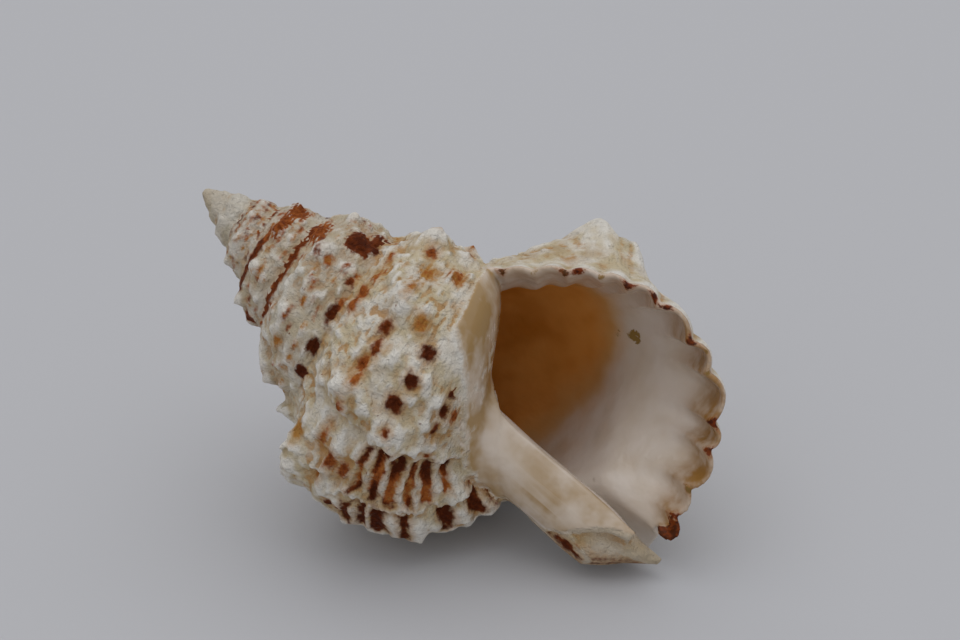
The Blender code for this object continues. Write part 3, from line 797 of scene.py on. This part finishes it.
            # Each tapers away from the edge
            lay(0.27 * wide - 0.65 * across_lip - 0.85 * from_edge, where, shade)
        away = np.abs(place[where] - self.whorls.hook_place - 0.008) * self.whorls.lip.length()
        lay(np.minimum(self.hook_mark - away, 0.42 * self.hook_mark - from_edge), where, 0.85)
        return best, tone

    def in_mouth(self, turn: Array, depth: Array) -> Array:
        """How deep each point lies inside a mark of the lining, in millimetres, negative outside."""
        best = np.full(turn.shape, OFF)
        for at, deep, wide in self.mouth_marks:
            best = np.maximum(best, wide / 2 - np.hypot(turn - at, depth - deep))
        return best

    def on_neck(self, points: Array) -> tuple[Array, Array]:
        """How deep each point lies inside a spot of the neck, and the tone of that spot."""
        around = np.degrees(np.arctan2(-points[:, 1], points[:, 0])) % 360
        far, deep = np.hypot(points[:, 0], points[:, 1]), -points[:, 2]
        best, tone = np.full(len(points), OFF), np.zeros(len(points))
        for facing, depth, wide, shade in self.neck_spots:
            inside = wide / 2 - np.hypot(np.radians(around - facing) * far, deep - depth)
            tone = np.where(inside > best, shade, tone)
            best = np.maximum(best, inside)
        return best, tone


# ---- The whole shell ------------------------------------------------------------------------------------


@dataclass(frozen=True)
class Resting:
    """The way the shell lies: how far its axis dips and comes forward, and how far one looks down on it."""

    lean: float = 39.75
    forward: float = 6.0
    down: float = 30.0
    wear: float = 0.7

    def turned(self) -> Array:
        """The rotation from the frame that the shell grows in to the way it lies."""
        lean, forward = math.radians(self.lean), math.radians(self.forward)
        side = (math.sin(lean), math.cos(lean), 0)
        behind = (math.sin(forward) * math.cos(lean), -math.sin(forward) * math.sin(lean), -math.cos(forward))
        spire = (-math.cos(forward) * math.cos(lean), math.cos(forward) * math.sin(lean), -math.sin(forward))
        return self.level() @ np.array([side, behind, spire]).T

    def level(self) -> Array:
        """The rotation from what one sees, x right, y up and z towards oneself, to the ground."""
        sine, cosine = math.sin(math.radians(self.down)), math.cos(math.radians(self.down))
        return np.array([(1, 0, 0), (0, sine, -cosine), (0, cosine, sine)])


def points_of(mesh: bpy.types.Mesh, what: str = "co") -> Array:
    """The places of a mesh's vertices, or another vector that each of them has, as (n, 3)."""
    values = np.empty(len(mesh.vertices) * 3)
    mesh.vertices.foreach_get(what, values)
    return values.reshape(-1, 3)


def ends_of(mesh: bpy.types.Mesh) -> Array:
    """The vertices at both ends of a mesh's edges, as (2, n)."""
    ends = np.empty(len(mesh.edges) * 2, np.int32)
    mesh.edges.foreach_get("vertices", ends)
    return ends.reshape(-1, 2).T


@dataclass
class Shell:
    """The whole shell: its sheets melted into one skin, told what it is at every point, and laid down."""

    whorls: Whorls = field(default_factory=Whorls)
    columella: Columella = field(default_factory=Columella)
    resting: Resting = field(default_factory=Resting)
    voxel: float = 0.7
    triangles: int = 190_000
    neighbours: int = 6
    # Less than this in turn and in place lies between points of one stretch of skin, and more at a seam
    stretch: tuple = (30.0, 0.1)
    seam: tuple = (20.0, 0.08)
    # Crevices are filled in a few goes, where they are deeper than this, and by no more than this in a go
    fillings: int = 3
    filling_rounds: int = 5
    filling_from: float = 0.5
    filling_most: float = 0.6
    # Where the orange of the throat starts: turns before the lip, at depths at the lip's size
    throat_turns: tuple = (-22, -27, -37, -47, -55, -66, -84, -115, -150)
    throat_depths: tuple = (100, 116, 124.7, 134.2, 142.2, 148.6, 151.5, 153, 156)
    throat_blur: float = 32.0
    throat_spread: tuple = (-6, -3, 0, 3, 6)
    # Towards the base it is paler: from which depth, over how much, and by how much
    throat_pale: tuple = (130, 20, 0.65)
    apex: Array = field(default_factory=lambda: np.zeros(3))

    def melted(self, sheets: list[Sheet]) -> bpy.types.Object:
        """One closed skin round every sheet, thinned out to the triangles wanted.

        Args:
            sheets: the pieces of the shell.

        Returns:
            The skin, in millimetres and in the frame that the shell grows in.
        """
        pieces = [sheet.tube() for sheet in sheets]
        bpy.ops.object.select_all(action="DESELECT")
        for piece in pieces:
            piece.select_set(True)
        bpy.context.view_layer.objects.active = pieces[0]
        bpy.ops.object.join()
        skin = bpy.context.object
        skin.name = "frog_shell"
        skin.data.name = "frog_shell"
        melt = skin.modifiers.new("melt", "REMESH")
        melt.mode = "VOXEL"
        melt.voxel_size = self.voxel
        bpy.ops.object.modifier_apply(modifier=melt.name)
        self.fill_crevices(skin.data)
        thin = skin.modifiers.new("thin", "DECIMATE")
        thin.ratio = min(1.0, self.triangles / (2 * len(skin.data.polygons)))
        thin.use_collapse_triangulate = True
        bpy.ops.object.modifier_apply(modifier=thin.name)
        log.info("melted skin has %d triangles", len(skin.data.polygons))
        return skin

    def traced(self, points: Array, sheets: list[Sheet]) -> tuple[Array, ...]:
        """What each point of the skin is, from the nearest points of the sheets.

        Args:
            points: (n, 3) positions on the skin.
            sheets: the pieces of the shell.

        Returns:
            The share of each kind of skin as (n, kinds), the nearest kind, the turn and the place.
        """
        spots = np.concatenate([sheet.points.reshape(-1, 3) for sheet in sheets])
        kinds = np.concatenate([sheet.skin.reshape(-1) for sheet in sheets])
        turns = np.concatenate([sheet.turn.reshape(-1) for sheet in sheets])
        places = np.concatenate([sheet.place.reshape(-1) for sheet in sheets])
        tree = kdtree.KDTree(len(spots))
        for index, spot in enumerate(spots):
            tree.insert(spot, index)
        tree.balance()
        near = np.zeros((len(points), self.neighbours), int)
        away = np.zeros((len(points), self.neighbours))
        for row, point in enumerate(points):
            for column, (_, index, distance) in enumerate(tree.find_n(point, self.neighbours)):
                near[row, column], away[row, column] = index, distance
        weight = 1 / (away + 0.15)
        shares = np.stack([(weight * (kinds[near] == kind.value)).sum(1) for kind in Skin], 1)
        shares /= weight.sum(1, keepdims=True)
        same = weight * (kinds[near] == kinds[near[:, :1]])
        for values, most in zip((turns, places), self.stretch):
            same = same * (np.abs(values[near] - values[near[:, :1]]) < most)
        total = same.sum(1)
        turn, place = ((same * values[near]).sum(1) / total for values in (turns, places))
        return shares, kinds[near[:, 0]], turn, place

    @staticmethod
    def hollows(mesh: bpy.types.Mesh, points: Array, rounds: int) -> Array:
        """How far each point lies below its smoothed surroundings, in the unit of the points.

        Args:
            mesh: the mesh.
            points: its vertices.
            rounds: how many times the surroundings are smoothed.

        Returns:
            Positive in a hollow and negative on a bump.
        """
        a, b = ends_of(mesh)
        count = np.bincount(a, minlength=len(points)) + np.bincount(b, minlength=len(points)) + 1
        smooth = points
        for _ in range(rounds):
            total = smooth.copy()
            for axis in range(3):
                total[:, axis] += np.bincount(a, smooth[b, axis], len(points))
                total[:, axis] += np.bincount(b, smooth[a, axis], len(points))
            smooth = total / count[:, None]
        return ((smooth - points) * points_of(mesh, "normal")).sum(1)

    def fill_crevices(self, mesh: bpy.types.Mesh) -> None:
        """Fills the sharp crevices between the whorls and round the callus, as growth does."""
        points = points_of(mesh)
        for _ in range(self.fillings):
            gap = self.hollows(mesh, points, self.filling_rounds) - self.filling_from
            points = points + points_of(mesh, "normal") * np.clip(gap, 0, self.filling_most)[:, None]
            mesh.vertices.foreach_set("co", points.ravel())
            mesh.update()

    def whole(self, mesh: bpy.types.Mesh, turn: Array, place: Array) -> Array:
        """0 on both sides of a seam, where the turn or the place jumps, and 1 elsewhere."""
        a, b = ends_of(mesh)
        jump = (np.abs(turn[a] - turn[b]) > self.seam[0]) | (np.abs(place[a] - place[b]) > self.seam[1])
        whole = np.ones(len(turn))
        whole[a[jump]] = 0
        whole[b[jump]] = 0
        return whole

    def throat(self, turn: Array, depth: Array) -> Array:
        """How orange the lining is: 0 at the lip, 1 in the throat, and paler towards the base.

        Args:
            turn: degrees before the lip.
            depth: depth at the lip's size, in millimetres.

        Returns:
            Shares from 0 to 1.
        """
        edges = [np.interp(depth + step, self.throat_depths, self.throat_turns)
                 for step in self.throat_spread]
        blurred = [ease((edge + self.throat_blur / 2 - turn) / self.throat_blur) for edge in edges]
        start, over, much = self.throat_pale
        return np.mean(blurred, axis=0) * (1 - much * ease((depth - start) / over))

    @staticmethod
    def stain(low: Array, out: Array) -> Array:
        """How stained the callus is: more at its top, at its foot and at its outer end.

        Args:
            low: depth below the apex, in millimetres.
            out: share of the way to its outer end.

        Returns:
            Shares from 0 to 1.
        """
        top, foot = rise(low, 126, 106), rise(low, 145, 157)
        return np.clip(0.35 + 0.7 * top + 0.3 * foot + 0.35 * rise(out, 0.3, 0.8), 0, 1)

    def told(self, skin: bpy.types.Object, sheets: list[Sheet]) -> None:
        """Writes what the finish reads onto the skin, as one attribute for each field.

        Args:
            skin: the melted skin, in the frame that the shell grows in.
            sheets: the pieces of the shell.
        """
        mesh = skin.data
        points = points_of(mesh)
        shares, nearest, turn, place = self.traced(points, sheets)
        outside, lining, columella, callus = shares.T
        wall = (nearest == Skin.OUTSIDE.value) | (nearest == Skin.LINING.value)
        shield = nearest == Skin.CALLUS.value
        size = self.whorls.coil.size(turn)
        low = -points[:, 2]
        markings = Markings(self.whorls)
        mark, tone = markings.fields(turn, place, np.hypot(points[:, 0], points[:, 1]))
        mark = np.where(wall & ((outside > 0.5) | (turn > -9)) & (callus + columella < 0.3), mark, OFF)
        spot, shade = markings.on_neck(points)
        spot = np.where((outside > 0.5) & (place > 0.94) & (turn < -30), spot, OFF)
        mark, tone = np.maximum(mark, spot), np.where(spot > mark, shade, tone)
        inner = np.where(lining > 0.5, markings.in_mouth(turn, low / size), OFF)
        mark, tone = np.maximum(mark, inner), np.where(inner > mark, markings.mouth_tone, tone)
        film = np.where(shield, np.minimum(1, place / 0.8), 1.0)
        # The glaze rolls out over the very edge of the lip
        rolled = rise(turn, -2.6, -1) * wall
        fields = {
            "mark": mark,
            "tone": tone,
            "glaze": np.maximum((1 - outside) * film, rolled),
            "stained": self.stain(low, turn) * shield * callus,
            "throat": self.throat(turn, low / size) * lining,
            "neck": np.where(wall, rise(place, 0.93, 0.97), rise(low, 135, 145)),
            "rim": rise(turn, -26, -8) * wall * (0.45 + 0.55 * rise(place, 0.35, 0.55)),
            "whole": self.whole(mesh, turn, place),
            "turn": turn,
            "place": place,
            "across": place * self.whorls.section.length() * size,
            "age": np.clip(-turn / (360 * self.whorls.coil.whorls), 0, 1),
            "pits": self.hollows(mesh, points, 3),
            "hollow": self.hollows(mesh, points, 24),
        }
        for name, values in fields.items():
            mesh.attributes.new(name, "FLOAT", "POINT").data.foreach_set("value", values.astype(np.float32))

    def laid(self, skin: bpy.types.Object) -> None:
        """Turns the skin to the way it lies, wears its rests flat and sets it in its solid's box."""
        mesh = skin.data
        points = points_of(mesh) @ self.resting.turned().T
        floor = points[:, 2].min() + self.resting.wear
        points[:, 2] = np.maximum(points[:, 2], floor)
        low, high = points.min(axis=0), points.max(axis=0)
        box = np.array(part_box(NODE))
        scale = MM * min(1.0, float(((box[1] - box[0]) / ((high - low) * MM)).min()))
        middle = (low + high) / 2
        origin = np.array([middle[0], middle[1], floor])
        place = np.array([*(box[0] + box[1])[:2] / 2, box[0][2]])
        points = (points - origin) * scale + place
        self.apex = place - origin * scale
        mesh.vertices.foreach_set("co", points.ravel())
        mesh.update()
        log.info("skin is %.4f of its full size", scale / MM)

    def build(self) -> bpy.types.Object:
        """The shell, ready for its finish."""
        callus = Callus(self.whorls)
        sheets = [self.whorls.spire(), self.whorls.last(), self.columella.sheet(), callus.sheet()]
        skin = self.melted(sheets)
        self.told(skin, sheets)
        self.laid(skin)
        bpy.ops.object.select_all(action="DESELECT")
        skin.select_set(True)
        bpy.context.view_layer.objects.active = skin
        bpy.ops.object.shade_smooth()
        return skin


# ---- Finishes -------------------------------------------------------------------------------------------


def linear(code: str) -> tuple[float, float, float, float]:
    """The linear colour of an sRGB hex value such as "#CBB599"."""
    parts = [int(code[i : i + 2], 16) / 255 for i in (1, 3, 5)]
    return (*(p / 12.92 if p <= 0.04045 else ((p + 0.055) / 1.055) ** 2.4 for p in parts), 1.0)


def add(tree: bpy.types.NodeTree, kind: str, settings: dict, inputs: dict,
        out: int | str = 0) -> Socket:
    """Adds a node.

    Args:
        tree: the material's node tree.
        kind: type of the node.
        settings: values of its properties.
        inputs: a value or a socket to link for each input, by name or by index.
        out: name or index of the output wanted.

    Returns:
        That output.
    """
    node = tree.nodes.new(kind)
    for name, value in settings.items():
        setattr(node, name, value)
    for key, value in inputs.items():
        if isinstance(value, Socket):
            tree.links.new(value, node.inputs[key])
        else:
            node.inputs[key].default_value = value
    return node.outputs[out]


@dataclass(frozen=True)
class Cloud:
    """A random cloud from about -0.5 to 0.5, with lumps of a size in millimetres and finer ones in them."""

    size: float
    detail: float = 3.0


@dataclass(frozen=True)
class Rise:
    """How strongly something shows, from what one field of the skin or cloud, or a weighted sum of them, is.

    Args:
        over: (weight, the name of a field or a cloud) pairs.
        start: where the sum stands at low.
        end: where it has come to high.
        low: how strongly it shows up to the start.
        high: how strongly it shows from the end on.
        smooth: True to ease in and out, and False for a straight line.
    """

    over: tuple
    start: float
    end: float
    low: float = 0.0
    high: float = 1.0
    smooth: bool = True


@dataclass(frozen=True)
class Layer:
    """A colour, or a coat of its own, that covers what is below it.

    Args:
        paint: the colour as a hex value, or the coat.
        shares: the rises that multiply to how strongly it covers.
        least: the rises that multiply to what that never falls below, if any.
    """

    paint: object
    shares: tuple[Rise, ...]
    least: tuple[Rise, ...] = ()


@dataclass(frozen=True)
class Coat:
    """A ground colour with layers laid over it in order."""

    ground: str
    layers: tuple[Layer, ...]


@dataclass
class Palette:
    """Turns coats and rises into one material's nodes, each field and cloud read once."""

    tree: bpy.types.NodeTree
    read: dict = field(default_factory=dict)

    def __post_init__(self) -> None:
        """Makes the coordinates in millimetres that every cloud reads."""
        where = add(self.tree, "ShaderNodeTexCoord", {}, {}, "Object")
        self.place = add(self.tree, "ShaderNodeVectorMath", {"operation": "SCALE"},
                         {0: where, "Scale": 1 / MM})

    def source(self, what: object) -> Socket:
        """A cloud, a field of the skin by its name, or a socket as it is."""
        if isinstance(what, Socket):
            return what
        if what not in self.read:
            if isinstance(what, Cloud):
                noise = add(self.tree, "ShaderNodeTexNoise", {},
                            {"Vector": self.place, "Scale": 1 / what.size, "Detail": what.detail})
                self.read[what] = add(self.tree, "ShaderNodeMath", {"operation": "SUBTRACT"},
                                      {0: noise, 1: 0.5})
            else:
                self.read[what] = add(self.tree, "ShaderNodeAttribute", {"attribute_name": what}, {}, "Fac")
        return self.read[what]

    def total(self, over: tuple) -> Socket:
        """The weighted sum of (weight, source) pairs."""
        total = 0.0
        for weight, what in over:
            total = add(self.tree, "ShaderNodeMath", {"operation": "MULTIPLY_ADD"},
                        {0: self.source(what), 1: weight, 2: total})
        return total

    def strength(self, rises: tuple[Rise, ...]) -> Socket:
        """The product of the rises."""
        product = 1.0
        for rise in rises:
            kind = "SMOOTHSTEP" if rise.smooth else "LINEAR"
            risen = add(self.tree, "ShaderNodeMapRange", {"interpolation_type": kind},
                        {"Value": self.total(rise.over), "From Min": rise.start, "From Max": rise.end,
                         "To Min": rise.low, "To Max": rise.high})
            product = add(self.tree, "ShaderNodeMath", {"operation": "MULTIPLY"}, {0: risen, 1: product})
        return product

    def painted(self, paint: object) -> Socket | tuple:
        """The colour of a hex value or of a coat."""
        if isinstance(paint, str):
            return linear(paint)
        colour = linear(paint.ground)
        for layer in paint.layers:
            share = self.strength(layer.shares)
            if layer.least:
                share = add(self.tree, "ShaderNodeMath", {"operation": "MAXIMUM"},
                            {0: share, 1: self.strength(layer.least)})
            colour = add(self.tree, "ShaderNodeMix", {"data_type": "RGBA"},
                         {0: share, 6: colour, 7: self.painted(layer.paint)}, 2)
        return colour


@dataclass(frozen=True)
class ChalkyOutside:
    """Weathered aragonite that grew in cords and was rolled on a beach.

    The rolling left it matt and chalky, white on its worn tops, with ochre stain deepened in its hollows and
    pits as painted shade, and brown marks whose edges are ragged because they are only as deep as the grain.
    """

    cream: str = "#C2B292"
    chalk: str = "#D6CEC0"
    bone: str = "#DDD8CF"
    beige: str = "#A88C62"
    ochre: str = "#AC7C3E"
    grey: str = "#ADA698"
    orange: str = "#9A5424"
    rust: str = "#703312"
    brown: str = "#4A1D09"
    roughness: float = 0.62
    shine: float = 0.3
    cord_gap: float = 1.35
    wrinkle_gap: float = 0.8

    def ground(self) -> tuple[Layer, ...]:
        """Chalk, stain (with painted shade in hollows and pits) and dust over the cream, and bone white on
        worn tops.
        """
        # Ochre stain in random patches, made deeper in the hollows and pits as painted shade of the crevices
        stain = ((1, "hollow"), (6, "pits"), (2.2, Cloud(1.6, 5)))
        return (
            Layer(self.chalk, (Rise(((1, Cloud(9)),), -0.12, 0.12),)),
            Layer(self.beige, (Rise(((1, Cloud(13, 5)),), -0.05, 0.2, high=0.65),),
                  least=(Rise(((1, "neck"),), 0, 1, high=0.6, smooth=False),)),
            Layer(self.ochre, (Rise(stain, -0.1, 1.1, high=0.8), Rise(((1, Cloud(14)),), -0.12, 0.1))),
            Layer(self.grey, (Rise(((1, "age"),), 0.13, 0.2, high=0.4),)),
            Layer(self.bone, (Rise(((1, "hollow"),), -0.1, -0.8, high=0.9), Rise(((1, "age"),), 0.62, 0.42),
                              Rise(((1, "neck"),), 0, 1, low=1, high=0.25, smooth=False))),
            Layer(self.grey, (Rise(((1, Cloud(5.5, 4)),), 0.05, 0.2, high=0.35),)),
            Layer(self.rust, (Rise(((1, Cloud(1.3, 1)),), 0.2, 0.28, high=0.8),
                              Rise(((1, Cloud(12, 1)),), 0, 0.12))))

    def coat(self) -> Coat:
        """The ground with the brown marks over it, each in a faint halo that is weaker on the spire."""
        inside = ((1, "mark"), (1.6, Cloud(1.8)))
        tone = ((1, "tone"), (0.7, Cloud(1.5)), (0.12, "mark"), (0.192, Cloud(1.8)))
        pigment = Coat(self.ochre, (Layer(self.orange, (Rise(tone, 0.1, 0.55),)),
                                    Layer(self.rust, (Rise(tone, 0.45, 0.8),)),
                                    Layer(self.brown, (Rise(tone, 0.7, 1.1),))))
        halo = (Rise(inside, -1.3, 0), Rise(((1, "age"),), 0.1, 0.2, low=0.5, high=0.14))
        return Coat(self.cream, (*self.ground(), Layer(self.ochre, halo),
                                 Layer(pigment, (Rise(inside, -0.35, 0.45),))))

    def height(self, palette: Palette) -> Socket:
        """Height in millimetres of the fine cords, the growth wrinkles and the worn grain."""
        tree = palette.tree
        phase = palette.total(((2 * math.pi / self.cord_gap, "across"),))
        cords = add(tree, "ShaderNodeMath", {"operation": "SINE"}, {0: phase})
        broken = palette.strength((Rise(((1, Cloud(6)),), -0.1, 0.15, high=0.1),
                                   Rise(((1, "whole"),), 0, 1, smooth=False)))
        cords = add(tree, "ShaderNodeMath", {"operation": "MULTIPLY"}, {0: cords, 1: broken})
        growth = add(tree, "ShaderNodeCombineXYZ", {},
                     {"X": palette.source("turn"), "Y": palette.source("place")})
        wrinkles = add(tree, "ShaderNodeTexNoise", {},
                       {"Vector": growth, "Scale": 1 / self.wrinkle_gap, "Detail": 2})
        wrinkles = add(tree, "ShaderNodeMath", {"operation": "MULTIPLY"},
                       {0: wrinkles, 1: palette.source("whole")})
        pitted = palette.strength((Rise(((1, Cloud(2.2, 1)),), 0.05, 0.3, low=-0.05, high=-0.4),))
        return palette.total(((1, cords), (0.22, wrinkles), (1, pitted),
                              (0.5, Cloud(0.8, 4)), (1.8, Cloud(2.4))))


@dataclass(frozen=True)
class Glaze:
    """Porcelain-like aragonite that the animal laid down inside, film on film.

    That left it smooth and glossy, white at the lip, tan on the callus and orange in the throat.
    """

    white: str = "#DBCFC3"
    peach: str = "#C5B197"
    tan: str = "#A58659"
    orange: str = "#D98F42"
    deep: str = "#C27629"
    horn: str = "#976F3A"
    olive: str = "#917440"
    amber: str = "#CC9C62"
    red: str = "#74300C"
    dark: str = "#451A08"
    rust: str = "#9C5A22"
    roughness: float = 0.22
    shine: float = 0.55

    def coat(self) -> Coat:
        """White porcelain, tinted on the callus, at the lip and in the throat, with marks over its edge."""
        throat = ((1, "throat"), (0.3, Cloud(8, 1)))
        deep = Coat(self.orange, (Layer(self.deep, (Rise(((1, Cloud(16, 2)),), -0.15, 0.2),)),))
        inside = ((1, "mark"), (2.6, Cloud(0.9)))
        brown = Rise(((1, "tone"),), 0.5, 0.9)
        burnt = Coat(self.dark, (Layer(self.red, (Rise(((1, Cloud(1.5)),), -0.1, 0.12),)),))
        pigment = Coat(self.olive, (Layer(burnt, (brown,)),))
        return Coat(self.white, (
            Layer(self.peach, (Rise(((1, Cloud(15, 2)),), -0.15, 0.25, high=0.5),)),
            Layer(self.tan, (Rise(((1, "stained"),), 0, 1, smooth=False),
                             Rise(((1, Cloud(12)),), -0.2, 0.2, low=0.35, high=1.35))),
            Layer(self.horn, (Rise(((1, "rim"),), 0, 1, smooth=False),
                              Rise(((1, Cloud(5)),), -0.2, 0.15, low=0.5, high=1.0))),
            Layer(self.amber, (Rise(throat, 0, 0.6),)),
            Layer(deep, (Rise(throat, 0.35, 1.0),)),
            Layer(self.rust, (Rise(inside, -1.2, 0.1, high=0.6), brown)),
            Layer(pigment, (Rise(inside, -0.3, 0.4),))))

    def height(self, palette: Palette) -> Socket:
        """Height in millimetres of the faint ripple in the porcelain."""
        return palette.total(((0.35, Cloud(5, 2)),))


@dataclass(frozen=True)
class ShellFinish:
    """The whole skin: the chalky outside where it weathered, and the glaze where the animal lay."""

    outside: ChalkyOutside = ChalkyOutside()
    glaze: Glaze = Glaze()
    ior: float = 1.5

    def material(self) -> bpy.types.Material:
        """The material, which reads the skin's own fields.

        Aragonite has an IOR near 1.5 under its films. The outside scatters light from a chalky skin, and
        the glaze gives soft highlights. The brown marks are dull, as pigment left in a worn skin is.
        """
        made = bpy.data.materials.new("weathered_and_glazed_aragonite")
        made.use_nodes = True
        tree = made.node_tree
        surface = tree.nodes["Principled BSDF"]
        palette = Palette(tree)
        edge = ((1, "glaze"), (0.6, Cloud(2.5)))
        glazed = palette.strength((Rise(edge, 0.25, 0.75),))
        outside, inside = palette.painted(self.outside.coat()), palette.painted(self.glaze.coat())
        colour = add(tree, "ShaderNodeMix", {"data_type": "RGBA"}, {0: glazed, 6: outside, 7: inside}, 2)
        tree.links.new(colour, surface.inputs["Base Color"])
        rough = Rise(((1, glazed),), 0, 1, self.outside.roughness, self.glaze.roughness, smooth=False)
        tree.links.new(palette.strength((rough,)), surface.inputs["Roughness"])
        height = add(tree, "ShaderNodeMix", {"data_type": "FLOAT"},
                     {0: glazed, 2: self.outside.height(palette), 3: self.glaze.height(palette)})
        bump = add(tree, "ShaderNodeBump", {}, {"Height": height, "Distance": MM, "Strength": 1.0})
        tree.links.new(bump, surface.inputs["Normal"])
        shine = Rise(((1, glazed),), 0, 1, self.outside.shine, self.glaze.shine, smooth=False)
        dull = Rise(((1, "mark"),), -0.3, 0.4, low=1, high=0.2)
        tree.links.new(palette.strength((shine, dull)), surface.inputs["Specular IOR Level"])
        surface.inputs["IOR"].default_value = self.ior
        surface.inputs["Metallic"].default_value = 0.0
        return made


# ---- Studio ---------------------------------------------------------------------------------------------


@dataclass
class Studio:
    """A pale floor, soft light from above and behind, and the camera."""

    resting: Resting
    floor_size: float = 6.0
    floor_colour: str = "#BBBBBE"
    air_colour: str = "#F2F4F8"
    air: float = 0.56
    # Name, place, size and power of each
    soft_boxes: tuple = (("soft_box_above", (0.05, 0.35, 2.2), 3.2, 26.0),
                         ("soft_box_front", (-0.5, -1.0, 0.7), 1.0, 0.9))
    lens: float = 82.5
    sensor: float = 36.0
    # Where the apex stands before the camera, in metres: right, up and towards it
    apex_seen: tuple = (-0.0864, 0.0405, -0.686)

    def floor(self) -> bpy.types.Object:
        """The floor, a smooth sheet of matt card."""
        bpy.ops.object.select_all(action="DESELECT")
        bpy.ops.mesh.primitive_plane_add(size=self.floor_size, location=(0, 0, 0))
        floor = bpy.context.object
        floor.name = "floor"
        card = bpy.data.materials.new("matt_card")
        card.use_nodes = True
        surface = card.node_tree.nodes["Principled BSDF"]
        surface.inputs["Base Color"].default_value = linear(self.floor_colour)
        surface.inputs["Roughness"].default_value = 0.8
        floor.data.materials.append(card)
        return floor

    def lamp(self, name: str, place: tuple, size: float, power: float) -> None:
        """A square soft box that faces the shell."""
        bpy.ops.object.light_add(type="AREA", location=place)
        lamp = bpy.context.object
        lamp.name = name
        lamp.data.size = size
        lamp.data.energy = power
        away = -np.array(place, float)
        flat = math.hypot(away[0], away[1])
        lamp.rotation_euler = (math.atan2(flat, -away[2]), 0, math.atan2(away[1], away[0]) - math.pi / 2)

    def world(self) -> None:
        """The soft fill from all round."""
        world = bpy.data.worlds.new("studio_air")
        world.use_nodes = True
        background = world.node_tree.nodes["Background"]
        background.inputs["Color"].default_value = linear(self.air_colour)
        background.inputs["Strength"].default_value = self.air
        bpy.context.scene.world = world
        bpy.context.scene.view_settings.view_transform = "Standard"

    def camera(self, apex: Array) -> None:
        """The camera, placed from where it sees the apex."""
        data = bpy.data.cameras.new("camera")
        data.lens = self.lens
        data.sensor_width = self.sensor
        camera = bpy.data.objects.new("camera", data)
        bpy.context.scene.collection.objects.link(camera)
        camera.rotation_euler = (math.radians(90 - self.resting.down), 0, 0)
        camera.location = apex - self.resting.level() @ np.array(self.apex_seen)
        bpy.context.scene.camera = camera

    def build(self, apex: Array) -> None:
        """Floor, light and camera."""
        self.floor()
        self.world()
        for soft_box in self.soft_boxes:
            self.lamp(*soft_box)
        self.camera(apex)


def main() -> None:
    """Builds the shell in its place, dresses it and sets the studio round it."""
    logging.basicConfig(level=logging.INFO, format="%(message)s")
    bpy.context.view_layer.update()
    shell = Shell()
    skin = shell.build()
    skin.data.materials.append(ShellFinish().material())
    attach(skin, BODY)
    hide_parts(NODE)
    log.info("shell: %d faces", len(skin.data.polygons))
    Studio(shell.resting).build(shell.apex)
    log.info("studio: floor, light and camera")


if __name__ == "__main__":
    main()
